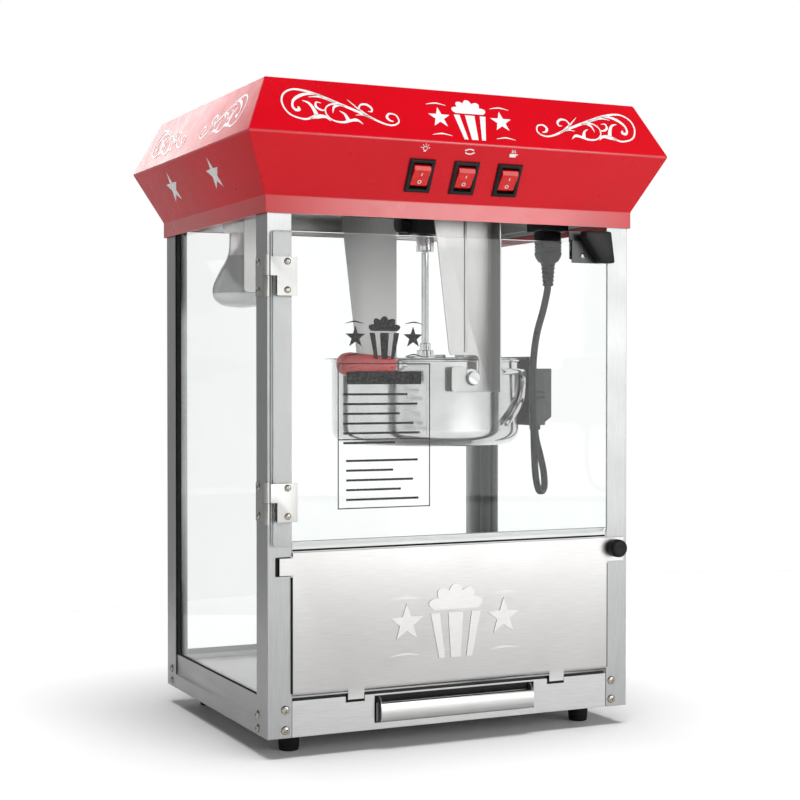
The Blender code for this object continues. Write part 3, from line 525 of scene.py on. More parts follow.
def refined(node, finish_name, width=0.4, segments=2, angle=40.0):
    """A copy of a CAD node with its flat faces made whole and its edges rounded."""
    bm = bmesh.new()
    bm.from_mesh(frame["nodes"][node].data)
    bmesh.ops.remove_doubles(bm, verts=bm.verts, dist=WELD * MM)
    bmesh.ops.dissolve_limit(bm, angle_limit=math.radians(0.5), verts=bm.verts, edges=bm.edges)
    bm.transform(Matrix.Scale(1.0 / MM, 4))
    made = piece(f"{node}_finished", BODY_OF[node], bm, finish_name, (node,), sharp=angle)
    return bevel(made, width, segments, angle)


def cutter(name, bm):
    """A shape that a Boolean takes away, and that is never shown."""
    made = to_object(name, bm)
    made.hide_render = True
    made.hide_viewport = True
    return made


def cut(obj, tool):
    modifier = obj.modifiers.new(f"cut_{tool.name}", "BOOLEAN")
    modifier.operation = "DIFFERENCE"
    modifier.object = tool


# ---------------------------------------------------------------- camera, cord


def make_camera():
    data = bpy.data.cameras.new("camera")
    data.lens = CAMERA_LENS
    data.sensor_width = CAMERA_SENSOR
    data.clip_end = 60.0
    camera = bpy.data.objects.new("camera", data)
    camera.location = CAMERA_PLACE
    camera.rotation_euler = CAMERA_TURN
    bpy.context.scene.collection.objects.link(camera)
    bpy.context.scene.camera = camera


def make_cord():
    """A flat two-core lead: two round cores side by side in one jacket, turned as it hangs."""
    path = smooth(CORD_ROUTE, 8)
    flat = Vector((0.906, -0.424, 0.0))
    core = CORD_WIDTH / 4.0
    loops = []
    for i, point in enumerate(path):
        along = (path[min(i + 1, len(path) - 1)] - path[max(i - 1, 0)]).normalized()
        wide = (flat - along * flat.dot(along)).normalized()
        deep = along.cross(wide)
        loop = []
        for step in range(CORD_SIDES):
            angle = 2.0 * math.pi * step / CORD_SIDES
            waist = 1.0 - 0.16 * math.sin(angle) ** 8
            out = wide * (CORD_WIDTH / 2.0 * math.cos(angle))
            out += deep * (1.55 * core * math.sin(angle) * waist)
            loop.append(point + out)
        loops.append(loop)
    bm = bmesh.new()
    loft(bm, loops)
    lead = to_object("kettle_lead", bm)
    lead.data.materials.append(FINISH["lead"])
    shade(lead, 60.0)
    metres = [point * MM for point in path]
    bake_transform(lead)
    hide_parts("kettle_cord")
    length = sum((b - a).length for a, b in zip(metres, metres[1:]))
    return lead, metres, length


def plug_loop(half_x, half_y, z, corner):
    """A rounded rectangle round the plug's axis."""
    x, y = middle("kettle_plug").x, middle("kettle_plug").y
    points = []
    for sign_x, sign_y, start in ((1, 1, 0), (-1, 1, 90), (-1, -1, 180), (1, -1, 270)):
        centre = (x + sign_x * (half_x - corner), y + sign_y * (half_y - corner))
        points += [(u, v, z) for u, v in arc(centre, corner, start, start + 90, 4)]
    return points


def make_plug():
    low, high = span("kettle_plug")
    bm = bmesh.new()
    neck = low.z + 18.0
    sections = [(5.6, 5.0, neck, 3.0), (9.6, 7.6, neck + 2.5, 3.5), (12.2, 9.4, neck + 7.0, 4.0)]
    sections += [(13.2, 10.0, neck + 11.0, 4.0)]
    for ridge in range(3):
        base = neck + 12.5 + 3.4 * ridge
        sections += [(13.2, 10.0, base, 4.0), (12.5, 9.4, base + 0.8, 4.0), (12.5, 9.4, base + 1.8, 4.0)]
        sections += [(13.2, 10.0, base + 2.6, 4.0)]
    sections += [(13.2, 10.0, high.z - 1.0, 4.0), (12.4, 9.3, high.z, 4.0)]
    loft(bm, [plug_loop(*section) for section in sections])
    plug = piece("mains_plug", "cabinet", bm, "black_plastic", ("kettle_plug",))

    bm = bmesh.new()
    rings = 6
    sections = []
    for i in range(rings):
        base = low.z - 6.0 + i * 4.4
        size = 4.6 + 0.28 * i
        sections += [(size, size - 0.8, base, 2.2), (size + 0.7, size - 0.1, base + 0.8, 2.4)]
        sections += [(size + 0.7, size - 0.1, base + 2.4, 2.4), (size, size - 0.8, base + 3.2, 2.2)]
    loft(bm, [plug_loop(*section) for section in sections])
    relief_sleeve = piece("plug_strain_relief", "cabinet", bm, "black_rubber")
    return [plug, relief_sleeve]


def make_cord_entry():
    """A grommet where the lead enters the terminal box."""
    x, y, z = CORD_ROUTE[-1]
    profile = [(3.6, z - 4.0), (5.4, z - 4.0), (6.2, z - 2.8), (6.2, z + 1.2), (3.6, z + 1.2)]
    return turned_piece("lead_grommet", "kettle", profile, (x, y), 40, "black_rubber", ring=True)


# ---------------------------------------------------------------- fasteners


def screw_mesh():
    """A pan head with a cross recess, one millimetre in radius, with its axis along +Z."""
    bm = bmesh.new()
    angles = [math.radians(15 * i) for i in range(1, 6)]
    dome = [(1.0, 0.0), (1.0, 0.12)]
    dome += [(math.cos(a), 0.12 + 0.36 * math.sin(a)) for a in angles]
    dome += [(0.02, 0.48)]
    turned(bm, dome, (0.0, 0.0), 32)
    head = cutter("screw_head", bm)
    tools = []
    for i, (half_x, half_y) in enumerate(((0.55, 0.12), (0.12, 0.55)), start=1):
        bm = bmesh.new()
        rounded_box(bm, (-half_x, -half_y, 0.18), (half_x, half_y, 0.8), 0.03, 1)
        tools.append(cutter(f"screw_slot_{i}", bm))
        cut(head, tools[-1])
    head.hide_viewport = False
    bpy.context.view_layer.update()
    graph = bpy.context.evaluated_depsgraph_get()
    mesh = bpy.data.meshes.new_from_object(head.evaluated_get(graph))
    mesh.name = "cross_head_screw"
    mesh.shade_smooth()
    mesh.set_sharp_from_angle(angle=math.radians(35))
    mesh.materials.clear()
    mesh.materials.append(FINISH["screw"])
    for tool in (head, *tools):
        bpy.data.objects.remove(tool, do_unlink=True)
    return mesh


def screw(name, body, mesh, place, out, radius):
    """Puts a screw at a place on a face that looks along out. Each is turned a little differently."""
    made = bpy.data.objects.new(name, mesh)
    bpy.context.scene.collection.objects.link(made)
    turn = Vector(out).to_track_quat("Z", "Y").to_matrix().to_4x4()
    twist = Matrix.Rotation(sum(map(abs, place)), 4, "Z")
    made.matrix_world = Matrix.Translation(Vector(place) * MM) @ turn @ twist @ Matrix.Scale(radius, 4)
    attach(made, body)
    return made


def make_screws():
    """The screws of the posts, the hinges, the door's clip and the terminal box."""
    mesh = screw_mesh()
    side = -BODY_LEFT
    for sign, name in ((-1, "left"), (1, "right")):
        for i, z in enumerate((48.0, 28.0)):
            for end, out in (("front", -1), ("rear", 1)):
                place = (sign * POST_SCREW_X, -out * BODY_FRONT, z)
                screw(f"screw_{end}_{name}_{i}", "cabinet", mesh, place, (0, out, 0), 4.4)
        for i, z in enumerate((40.5, 27.0)):
            for end, y in (("front", -135.6), ("rear", 146.6)):
                place = (sign * side, y, z)
                screw(f"screw_side_{end}_{name}_{i}", "cabinet", mesh, place, (sign, 0, 0), 4.2)
    for level in ("upper", "lower"):
        top = span(f"hinge_door_leaf_{level}")[1].z
        for i, z in enumerate((top - 33.6, top - 6.0)):
            place = (-186.0, HINGE_LEAF_FRONT, z)
            screw(f"screw_door_{level}_{i}", "glass_door", mesh, place, (0, -1, 0), 3.4)
            place = (BODY_LEFT - 1.5, -143.5, z)
            screw(f"screw_post_{level}_{i}", "cabinet", mesh, place, (-1, 0, 0), 3.4)
    screw("screw_clip", "glass_door", mesh, (146.0, HINGE_LEAF_FRONT, 499.5), (0, -1, 0), 3.2)
    low, high = span("terminal_box")
    for i, z in enumerate((low.z + 16.0, high.z - 22.0)):
        screw(f"screw_box_{i}", "kettle", mesh, (high.x, -38.0, z), (1, 0, 0), 2.6)


# ---------------------------------------------------------------- roof


def roof_frame(slope, turn, across, along):
    """A frame on a slope of the roof: u to the right, v up the slope and w outwards."""
    low, high = slope
    half = 1 if turn == FRONT else 0
    right = Vector((1.0, 0.0, 0.0))
    up = Vector((0.0, low[half] - high[half], high[2] - low[2])).normalized()
    out = right.cross(up)
    matrix = Matrix((right, up, out)).transposed().to_4x4()
    matrix.translation = Vector((across, -low[half], low[2])) + up * along
    return Matrix.Rotation(math.radians(turn), 4, "Z") @ matrix


def folded(folds, radius, steps=4):
    """The folds with each inner one replaced by a bend of about this radius."""
    rows = [Vector(fold) for fold in folds]
    bent = [rows[0]]
    for before, fold, after in zip(rows, rows[1:], rows[2:]):
        start = fold + (before - fold).normalized() * radius
        end = fold + (after - fold).normalized() * radius
        for i in range(steps + 1):
            t = i / steps
            bent.append(start * (1 - t) ** 2 + fold * 2 * t * (1 - t) + end * t**2)
    bent.append(rows[-1])
    return bent


def roof_loop(fold, corner=1.1):
    half_x, half_y, z = fold
    points = []
    for sign_x, sign_y, start in ((1, 1, 0), (-1, 1, 90), (-1, -1, 180), (1, -1, 270)):
        centre = (sign_x * (half_x - corner), sign_y * (half_y - corner))
        points += [(u, v, z) for u, v in arc(centre, corner, start, start + 90, 3)]
    return points


def make_roof():
    outer = folded([ROOF_LIP_BOTTOM, ROOF_LIP_TOP, ROOF_WIDEST, ROOF_TOP], 1.8)
    top = ROOF_TOP
    outer = outer[:-1] + folded([outer[-2], top, (top[0] - 4.0, top[1] - 4.0, top[2])], 1.5)[1:]
    inner = []
    for half_x, half_y, z in folded([ROOF_LIP_BOTTOM, ROOF_LIP_TOP, ROOF_WIDEST, ROOF_TOP], 1.8):
        inner.append((half_x - ROOF_SHEET, half_y - ROOF_SHEET, min(z, top[2] - ROOF_SHEET)))
    bm = bmesh.new()
    loft(bm, [roof_loop(fold) for fold in reversed(inner)] + [roof_loop(fold) for fold in outer])
    roof = piece("painted_roof", "cabinet", bm, "red_paint", ("roof_shell",), sharp=25.0)
    bm = bmesh.new()
    rounded_box(bm, (-199.0, 160.0, 520.0), (199.0, 175.0, 539.0), 0.5, 1)
    cut(roof, cutter("rear_lip_cut", bm))
    roof.data.materials.append(FINISH["red_paint_bend"])
    for face in roof.data.polygons:
        height = face.center.z / MM
        on_fold = abs(height - ROOF_WIDEST[2]) < 1.3
        on_hip = min(abs(face.normal.x), abs(face.normal.y)) > 0.2 and height > LOWER_SLOPE[1][2]
        face.material_index = 1 if height < ROOF_LIP_TOP[2] or on_fold or on_hip else 0
    for name, x in SWITCH_XS.items():
        bm = bmesh.new()
        frame_here = roof_frame(LOWER_SLOPE, FRONT, x, SWITCH_UP_SLOPE)
        outline = [(-12.1, -15.6), (12.1, -15.6), (12.1, 15.6), (-12.1, 15.6)]
        prism(bm, outline, -12.0, 8.0, in_frame(frame_here))
        cut(roof, cutter(f"switch_cut_{name}", bm))


def ribbon(bm, matrix, points, widths, lift=0.05):
    """A flat brush stroke through a few points. Its width runs through widths from end to end."""
    path = smooth([Vector((*point, 0.0)) for point in points])
    last = len(path) - 1
    loops = []
    for i, point in enumerate(path):
        along = (path[min(i + 1, last)] - path[max(i - 1, 0)]).normalized()
        side = Vector((-along.y, along.x, 0.0))
        reach = i / last * (len(widths) - 1)
        index = min(int(reach), len(widths) - 2)
        half = widths[index] + (widths[index + 1] - widths[index]) * (reach - index)
        half /= 2.0
        left, right = point - side * half, point + side * half
        up = Vector((0.0, 0.0, 1.0))
        corners = (left + up * lift, right + up * lift, right + up * (lift + INK), left + up * (lift + INK))
        loops.append([matrix @ corner for corner in corners])
    loft(bm, loops)


def plate(bm, matrix, outline, lift=0.05, thick=INK):
    prism(bm, outline, lift, lift + thick, in_frame(matrix))


def star_outline(centre, radius):
    points = []
    for i in range(10):
        reach = radius if i % 2 == 0 else radius * 0.40
        angle = math.radians(90 + 36 * i)
        points.append((centre[0] + reach * math.cos(angle), centre[1] + reach * math.sin(angle)))
    return points


SCROLL = (
    (((32, 5), (22, 1.6), (8, 6), (1.9, 17), (4, 28), (13, 34.5), (24, 35), (40, 31), (60, 23), (86, 12),
      (104, 3.5), (115, 1.6), (122.5, 6), (121, 13.5), (114, 15), (110.5, 11), (113, 7), (117, 6.3)),
     (2.4, 1.7, 1.8, 1.9, 2.6, 2.9, 1.9, 1.5, 1.5, 2.8, 0.8)),
    (((48, 29), (36, 31.5), (24, 29.5), (14.5, 23), (12, 16), (14.5, 11.5), (18.5, 12.5), (17.5, 15.5)),
     (0.6, 2.4, 3.4, 2.2, 2.6, 3.4, 1.2)),
    (((23, 23), (29.5, 20.5), (33.5, 14), (35.5, 7)), (0.4, 2.6, 3.6, 4.6)),
    (((28, 3.4), (36, 5.6), (44, 6), (49.5, 1.5)), (2.0, 5.0, 3.2, 0.4)),
    (((67, 20), (55, 21.5), (47, 17), (46, 9), (52, 2.5), (62, 1), (72, 4), (78, 4.5), (83, 0.5)),
     (2.4, 1.5, 1.3, 1.5, 2.6, 3.4, 0.4)),
    (((62, 21.5), (55.5, 18), (53, 11)), (3.2, 2.4, 0.3)),
    (((60.5, 14), (65.5, 10.5), (68, 4)), (0.4, 2.4, 4.4)),
    (((46, 13.5), (41, 13.6), (36.5, 17), (37.5, 22), (42.5, 21.5)), (1.2, 2.0, 2.6, 1.6, 0.5)),
    (((94, 8.5), (85, 13), (82, 18.5), (85, 23.2), (91, 23.6), (95.5, 20), (95, 16), (91, 16)),
     (0.6, 1.5, 1.7, 2.6, 2.0, 0.5)),
    (((90, 10.5), (80, 19), (71, 28)), (2.6, 1.6, 0.3)),
    (((96, 7), (86, 11), (77, 10.5)), (1.6, 1.5, 0.3)),
    (((30, 27.5), (42, 28.5), (58, 23.5)), (0.3, 1.8, 2.6)),
)


def make_scroll(name, slope, turn, across, along, mirror):
    """The printed flourish. It starts at its outer end, and mirror turns it round."""
    bm = bmesh.new()
    matrix = roof_frame(slope, turn, across, along)
    for points, widths in SCROLL:
        flipped = [(mirror * u, v) for u, v in points]
        ribbon(bm, matrix, flipped, widths)
    piece(name, "cabinet", bm, "white_ink")


def puffs(centre, radius, lobes=5):
    """The scalloped outline of a heap of popcorn, flat below."""
    points = []
    for i in range(8 * lobes + 1):
        angle = math.pi * i / (8 * lobes)
        reach = radius * (0.86 + 0.26 * abs(math.sin(lobes * angle)))
        points.append((centre[0] + reach * math.cos(angle), centre[1] + 0.82 * reach * math.sin(angle)))
    return points


def emblem(bm, matrix, scale, lift, thick):
    """A plain picture of a striped carton of popcorn between two stars."""
    shapes = [puffs((0.0, 31.0), 18.0), star_outline((-35.0, 24.0), 12.5), star_outline((35.0, 24.0), 12.5)]
    edges = (-1.0, -0.64, -0.30, 0.30, 0.64, 1.0)
    for left, right in zip(edges[::2], edges[1::2]):
        shapes.append([(12.0 * left, 0.0), (12.0 * right, 0.0), (18.0 * right, 29.0), (18.0 * left, 29.0)])
    for outline in shapes:
        plate(bm, matrix, [(scale * u, scale * v) for u, v in outline], lift, thick)
    for side in (-1.0, 1.0):
        for rise in (0.0, 36.0):
            ends = (side * 25.0 * scale, side * 47.0 * scale)
            level = (3.0 + rise) * scale
            ribbon(bm, matrix, ((ends[0], level), (sum(ends) / 2, level + 2.0), (ends[1], level)),
                   (0.4, 1.6 * scale, 0.4), lift)


def make_icons():
    """Icons over the switches: a lamp, a turning arrow and a steaming pot."""
    bm = bmesh.new()
    matrix = roof_frame(LOWER_SLOPE, FRONT, SWITCH_XS["light"], 56.0)
    ribbon(bm, matrix, arc((0.0, 0.6), 2.1, -50, 230, 10), (0.7, 0.7))
    plate(bm, matrix, [(-1.2, -2.8), (1.2, -2.8), (1.5, -1.2), (-1.5, -1.2)])
    for i in range(5):
        angle = math.radians(10 + 40 * i)
        way = (math.cos(angle), math.sin(angle))
        ends = [(r * way[0], 0.6 + r * way[1]) for r in (3.3, 4.2, 5.1)]
        ribbon(bm, matrix, ends, (0.7, 0.5))
    matrix = roof_frame(LOWER_SLOPE, FRONT, SWITCH_XS["stirrer"], 56.0)
    for turn in (0, 180):
        bow = [(5.0 * u, 2.5 * v) for u, v in arc((0.0, 0.0), 1.0, turn + 25, turn + 150, 8)]
        ribbon(bm, matrix, bow, (1.3, 1.1))
        tip = (5.6 * math.cos(math.radians(turn + 175)), 2.8 * math.sin(math.radians(turn + 175)))
        base = [(5.0 * math.cos(math.radians(turn + 145)) * k, 2.5 * math.sin(math.radians(turn + 145)) * k)
                for k in (0.62, 1.36)]
        plate(bm, matrix, [tip, base[0], base[1]] if turn else [tip, base[1], base[0]])
    matrix = roof_frame(LOWER_SLOPE, FRONT, SWITCH_XS["kettle"], 56.0)
    plate(bm, matrix, [(-3.4, -3.0), (3.4, -3.0), (4.0, 0.6), (-4.0, 0.6)])
    ribbon(bm, matrix, ((4.0, -0.4), (5.6, -0.1)), (1.1, 0.9))
    for x in (-1.8, 0.0, 1.8):
        ribbon(bm, matrix, ((x, 1.5), (x + 0.6, 2.6), (x - 0.4, 3.6), (x + 0.3, 4.8)), (0.7, 0.4))
    piece("switch_icons", "cabinet", bm, "white_ink")


def make_prints():
    make_scroll("scroll_front_left", UPPER_SLOPE, FRONT, -198.0, 14.0, 1)
    make_scroll("scroll_front_right", UPPER_SLOPE, FRONT, 204.0, 14.0, -1)
    for turn, name in ((LEFT, "left"), (RIGHT, "right")):
        make_scroll(f"scroll_{name}_rear", UPPER_SLOPE, turn, -150.0, 12.0, 1)
        make_scroll(f"scroll_{name}_front", UPPER_SLOPE, turn, 150.0, 12.0, -1)
        bm = bmesh.new()
        matrix = roof_frame(LOWER_SLOPE, turn, 0.0, 0.0)
        for across in (-80.0, 58.0):
            plate(bm, matrix, star_outline((across if turn == LEFT else -across, 34.0), 18.5))
        piece(f"stars_{name}", "cabinet", bm, "white_ink")
    bm = bmesh.new()
    emblem(bm, roof_frame(UPPER_SLOPE, FRONT, 6.0, 5.0), 1.0, 0.05, INK)
    piece("roof_emblem", "cabinet", bm, "white_ink")
    make_icons()


# ---------------------------------------------------------------- switches


def make_switches():
    for name, x in SWITCH_XS.items():
        refined(f"switch_bezel_{name}", "black_plastic", 0.6, 3)
        refined(f"switch_rocker_{name}", "red_rocker", 0.7, 3, 12.0)
        face = roof_frame(LOWER_SLOPE, FRONT, x, SWITCH_UP_SLOPE)
        pivot = Matrix.Translation((0.0, 0.0, -ROCKER_PIVOT_DEPTH))
        matrix = face @ pivot @ Matrix.Rotation(ROCKER_TILT, 4, "X") @ pivot.inverted()
        bm = bmesh.new()
        ribbon(bm, matrix, ((0.0, 2.6), (0.0, 4.2), (0.0, 5.8)), (0.9, 0.9), 3.86)
        ring = arc((0.0, -4.6), 1.8, 0, 360, 20)
        ribbon(bm, matrix, ring, (0.7, 0.7), 3.86)
        piece(f"rocker_marks_{name}", f"rocker_{name}", bm, "white_ink")


# ---------------------------------------------------------------- cabinet


def make_feet():
    for end in ("front", "rear"):
        for side in ("left", "right"):
            node = f"foot_{end}_{side}"
            high = span(node)[1]
            centre = (middle(node).x, middle(node).y)
            profile = [(8.4, 0.0), (9.3, 0.25), (9.8, 1.2), (10.3, 5.0), (9.9, 5.5), (10.4, 6.0)]
            profile += [(10.9, high.z - 2.4), (10.6, high.z - 0.6), (9.8, high.z)]
            turned_piece(f"{node}_moulded", "cabinet", profile, centre, 48, "black_rubber", (node,))


def make_cabinet():
    make_feet()
    for end in ("front", "rear"):
        for side in ("left", "right"):
            refined(f"post_{end}_{side}", "alu_z", 0.7, 3)
    refined("base_pan", "alu_x", 0.4)
    refined("front_rail", "alu_x", 0.35)
    refined("rear_rail", "alu_x", 0.35)
    refined("left_rail", "alu_y", 0.35)
    refined("right_rail", "alu_y", 0.35)
    refined("popcorn_deck", "steel_x", 0.3)
    refined("ceiling_pan", "steel_x", 0.4)
    refined("front_crossbar", "alu_x", 0.6, 3)
    for node in ("left_glass", "right_glass", "rear_glass"):
        glazed(node)
    make_seals()


def glazed(node):
    """A pane with ground edges: glass on its two faces, and a matt rim."""
    pane = refined(node, "glass", 0.5, 2)
    pane.data.materials.append(FINISH["glass_edge"])
    low, high = span(node)
    size = high - low
    thin = min(range(3), key=lambda axis: size[axis])
    for face in pane.data.polygons:
        if abs(face.normal[thin]) < 0.9:
            face.material_index = 1
    return pane


def strip(name, body, low, high, finish_name="black_rubber", radius=0.5):
    bm = bmesh.new()
    rounded_box(bm, low, high, radius)
    return piece(name, body, bm, finish_name)


def make_seals():
    """Rubber channels along the panes, and dark strips of painted shade in the gaps round the serving panel
    and over the drawer.
    """
    top, bottom = POST_HIGH.z, span("left_rail")[1].z
    leg = -POST_HIGH.y
    for sign, side in ((-1, "left"), (1, "right")):
        face = sorted((sign * 201.6, sign * 203.2))
        for name, start, end in (("rear", leg - 13.0, leg + 4.0), ("front", -leg - 3.0, -leg + 2.2)):
            low = (face[0], start, bottom - 2.0)
            strip(f"seal_{side}_{name}", "cabinet", low, (face[1], end, top - 22.0))
        low = (face[0], -leg + 2.0, bottom - 1.0)
        strip(f"seal_{side}_sill", "cabinet", low, (face[1], leg - 12.0, bottom + 1.6))
    # A dark strip under the crossbar: painted shadow for the line between the crossbar and the serving
    # panel's top
    low, high = span("front_crossbar")
    start, end = (low.x + 1.0, low.y - 0.9, 202.2), (high.x - 1.0, low.y + 0.1, 204.0)
    strip("crossbar_painted_shadow", "cabinet", start, end, radius=0.3)
    # A black strip behind the gap over the drawer: painted shade for the dark gap
    strip("sill_painted_shade", "cabinet", (-178.0, -161.4, 47.2), (178.0, -159.4, 58.4), "black_plastic", 0.3)
    # A black strip behind the serving panel's left ear: painted shade in the gap there
    strip("ear_painted_shade", "cabinet", (-198.0, -161.5, 176.0), (-180.0, -160.9, 199.0), "black_plastic", 0.2)
    # Dark strips along the serving panel's sides: painted shade for the gaps between the panel and the posts
    for side, sign, top in (("left", -1, 177.0), ("right", 1, 174.0)):
        inner, outer = sorted((sign * 179.3, sign * 180.5))
        strip(f"panel_edge_painted_shade_{side}", "cabinet", (inner, -164.9, 63.0), (outer, -163.1, top), radius=0.3)


# ---------------------------------------------------------------- door and panel


def make_door():
    glazed("door_glass")
    # The clip takes the dark box steel: its darkness is a painted reflection of dark surroundings in
    # polished steel
    refined("door_clip", "steel_dark", 0.35)
    refined("door_pull", "black_plastic", 0.8, 3, 50.0)
    for level in ("upper", "lower"):
        refined(f"hinge_door_leaf_{level}", "hinge", 0.3, 2, 50.0)
        refined(f"hinge_post_leaf_{level}", "hinge", 0.3, 2, 50.0)
    make_door_label()


def make_door_label():
    """A plain printed panel on the door: a frame, a heading bar and rows of dashes."""
    face = span("door_glass")[0].y
    matrix = Matrix(((1, 0, 0, 0), (0, 0, -1, face), (0, 1, 0, 0), (0, 0, 0, 1)))
    left, right = LABEL_LEFT, LABEL_RIGHT
    bm = bmesh.new()
    shapes = [(left, LABEL_LOW, left + LABEL_LINE, LABEL_HIGH)]
    shapes += [(right - LABEL_LINE, LABEL_LOW, right, LABEL_HIGH)]
    for z in (LABEL_LOW, LABEL_HIGH - LABEL_LINE, (LABEL_LOW + LABEL_HIGH) / 2.0 - 4.0):
        shapes.append((left + 1.0, z, right - 1.0, z + LABEL_LINE))
    shapes.append((left + 10.0, LABEL_HIGH - 21.0, right - 10.0, LABEL_HIGH - 8.0))
    for row, share in enumerate(LABEL_ROWS):
        in_upper = row < LABEL_UPPER_ROWS
        z = LABEL_HIGH - 32.0 - LABEL_ROW_PITCH * row - (0.0 if in_upper else 8.0)
        start = left + (6.0 if in_upper else 9.0)
        shapes.append((start, z, start + share * (right - left - 16.0), z + LABEL_ROW_HEIGHT))
    for x0, z0, x1, z1 in shapes:
        plate(bm, matrix, [(x0, z0), (x1, z0), (x1, z1), (x0, z1)])
    emblem(bm, matrix @ Matrix.Translation(((left + right) / 2.0, LABEL_HIGH + 4.0, 0.0)), 0.9, 0.05, INK)
    piece("door_label", "glass_door", bm, "black_ink")


def make_panel():
    refined("serving_panel", "steel_x", 0.35, 2, 50.0)
    face = Matrix(((1, 0, 0, -1.5), (0, 0, -1, PANEL_FACE), (0, 1, 0, 87.0), (0, 0, 0, 1)))
    bm = bmesh.new()
    emblem(bm, face, 1.58, -0.1, 0.75)
    made = piece("panel_emboss", "serving_door", bm, "steel_x")
    bevel(made, 0.35, 2, 30.0)
    centre = middle("panel_knob")
    seat = span("panel_knob")[1].y
    profile = [(6.4, seat), (7.4, seat - 1.0), (9.2, seat - 2.2), (9.5, seat - 3.4), (9.5, seat - 9.2)]
    profile += [(9.2, seat - 10.6), (8.2, seat - 11.6), (6.6, seat - 12.0)]
    profile += [(3.2, seat - 11.7), (0.1, seat - 11.5)]
    place = (centre.x, centre.z)
    turned_piece("knob_moulded", "panel_knob", profile, place, 56, "black_plastic", ("panel_knob",), "Y")


def make_drawer():
    refined("kernel_drawer", "steel_x", 0.3)
    refined("drawer_pull", "steel_x", 0.3, 2, 50.0)
    low, high = span("kernel_drawer")
    # A black sheet on the drawer's front, behind the pull: painted shade for the pull's hollow
    start, end = (low.x + 2.0, low.y - 0.7, low.z + 4.0), (high.x - 2.0, low.y - 0.35, high.z - 0.5)
    strip("pull_painted_shade", "drawer", start, end, "black_plastic", 0.15)


def make_machine():
    make_roof()
    make_prints()
    make_switches()
    make_cabinet()
    make_door()
    make_panel()
    make_drawer()
    make_kettle()
    make_hangers()
    make_drive()
    make_lamp()


# ---------------------------------------------------------------- kettle


def make_kettle():
    outer = KETTLE_RADIUS
    wall = outer - 1.5
    profile = arc((outer - 18.0, KETTLE_BOTTOM + 18.0), 16.5, -90, 0, 12)
    profile += [(wall, KETTLE_RIM - RIM_ROLL)]
    profile += arc((outer, KETTLE_RIM - RIM_ROLL), RIM_ROLL, 180, -90, 12)
    profile += [(outer, KETTLE_RIM - 4.0)]
    profile += arc((outer - 18.0, KETTLE_BOTTOM + 18.0), 18.0, 0, -90, 12)
    turned_piece("kettle_pot", "kettle", profile, KETTLE_CENTRE, 128, "polished", ("kettle_shell",))

    radius = wall - 0.3
    floor = span("kettle_liner")[0].z
    profile = arc((radius - 14.0, floor + 14.0), 12.8, -90, 0, 10)
    profile += [(radius - 1.2, KETTLE_RIM - 1.0), (radius, KETTLE_RIM - 1.0)]
    profile += arc((radius - 14.0, floor + 14.0), 14.0, 0, -90, 10)
    turned_piece("kettle_inner", "kettle", profile, KETTLE_CENTRE, 128, "polished", ("kettle_liner",))
    refined("heater_element", "casting", 0.8)

    for end in ("front", "rear"):
        refined(f"trunnion_{end}", "polished", 0.5, 3, 50.0)
    make_grip()
    make_stay()
    refined("terminal_box", "steel_dark", 0.5, 3)
    make_box_slots()
    refined("kettle_crossbar", "steel_z", 0.4)
    make_lids()


def make_grip():
    """A turned handle on a threaded stud that comes out of the kettle's wall."""
    low, high = span("kettle_grip")
    axis = (middle("kettle_grip").y, middle("kettle_grip").z)
    knots = [(5.0, high.x), (7.6, high.x - 1.0), (9.0, high.x - 5.0), (10.0, high.x - 24.0)]
    knots += [(11.8, high.x - 43.0), (12.4, high.x - 51.0), (11.2, high.x - 58.5), (7.5, high.x - 63.5)]
    knots += [(2.0, low.x)]
    profile = [(max(point.x, 0.4), max(point.y, low.x)) for point in smooth([(*k, 0.0) for k in knots], 5)]
    turned_piece(
        "grip_moulded", "kettle", profile, axis, 56, "red_plastic", ("kettle_grip",), "X", sharp=60.0
    )
    profile = [(3.0, high.x - 2.0), (3.0, high.x + 2.5), (6.0, high.x + 2.8), (6.4, high.x + 3.6)]
    profile += [(6.4, high.x + 6.4), (6.0, high.x + 7.0), (3.2, high.x + 7.2), (3.2, high.x + 13.0)]
    turned_piece("grip_stud", "kettle", profile, axis, 36, "polished", axis="X")


def stay_point(angle, z):
    """A point just outside the kettle's wall. The angle runs from the front towards the right."""
    reach = KETTLE_RADIUS + 4.4
    x = KETTLE_CENTRE[0] + reach * math.sin(math.radians(angle))
    y = KETTLE_CENTRE[1] - reach * math.cos(math.radians(angle))
    return Vector((x, y, z))


def make_stay():
    route = [stay_point(20.0 + 6.5 * i, 378.0) for i in range(6)]
    route += [stay_point(58.5, 376.5), stay_point(62.0, 371.5), stay_point(61.5, 365.0)]
    route += [stay_point(59.0 - 6.4 * i, 358.5 - 7.5 * i) for i in range(6)]
    path = smooth(route, 4)
    bm = bmesh.new()
    loops = []
    for i, point in enumerate(path):
        along = (path[min(i + 1, len(path) - 1)] - path[max(i - 1, 0)]).normalized()
        side = along.cross(Vector((0.0, 0.0, 1.0)) if abs(along.z) < 0.9 else Vector((1.0, 0.0, 0.0)))
        side.normalize()
        up = side.cross(along)
        ends = min(i, len(path) - 1 - i)
        radius = 3.5 if ends > 1 else (3.2 if ends == 1 else 2.4)
        angles = [2.0 * math.pi * k / 20 for k in range(20)]
        loops.append([point + (side * math.cos(a) + up * math.sin(a)) * radius for a in angles])
    loft(bm, loops)
    piece("stay_rod", "kettle", bm, "polished", ("kettle_stay",), sharp=60.0)


def make_box_slots():
    """Dark vents on the right and the front of the terminal box."""
    low, high = span("terminal_box")
    for i, z in enumerate((low.z + 30.0, low.z + 36.0)):
        start, end = (high.x - 0.6, -20.0, z), (high.x + 0.15, 8.0, z + 2.2)
        strip(f"box_vent_{i}", "kettle", start, end, "black_plastic", 0.3)
        start, end = (high.x - 20.0, low.y - 0.15, z), (high.x - 8.0, low.y + 0.6, z + 2.2)
        strip(f"box_front_vent_{i}", "kettle", start, end, "black_plastic", 0.3)


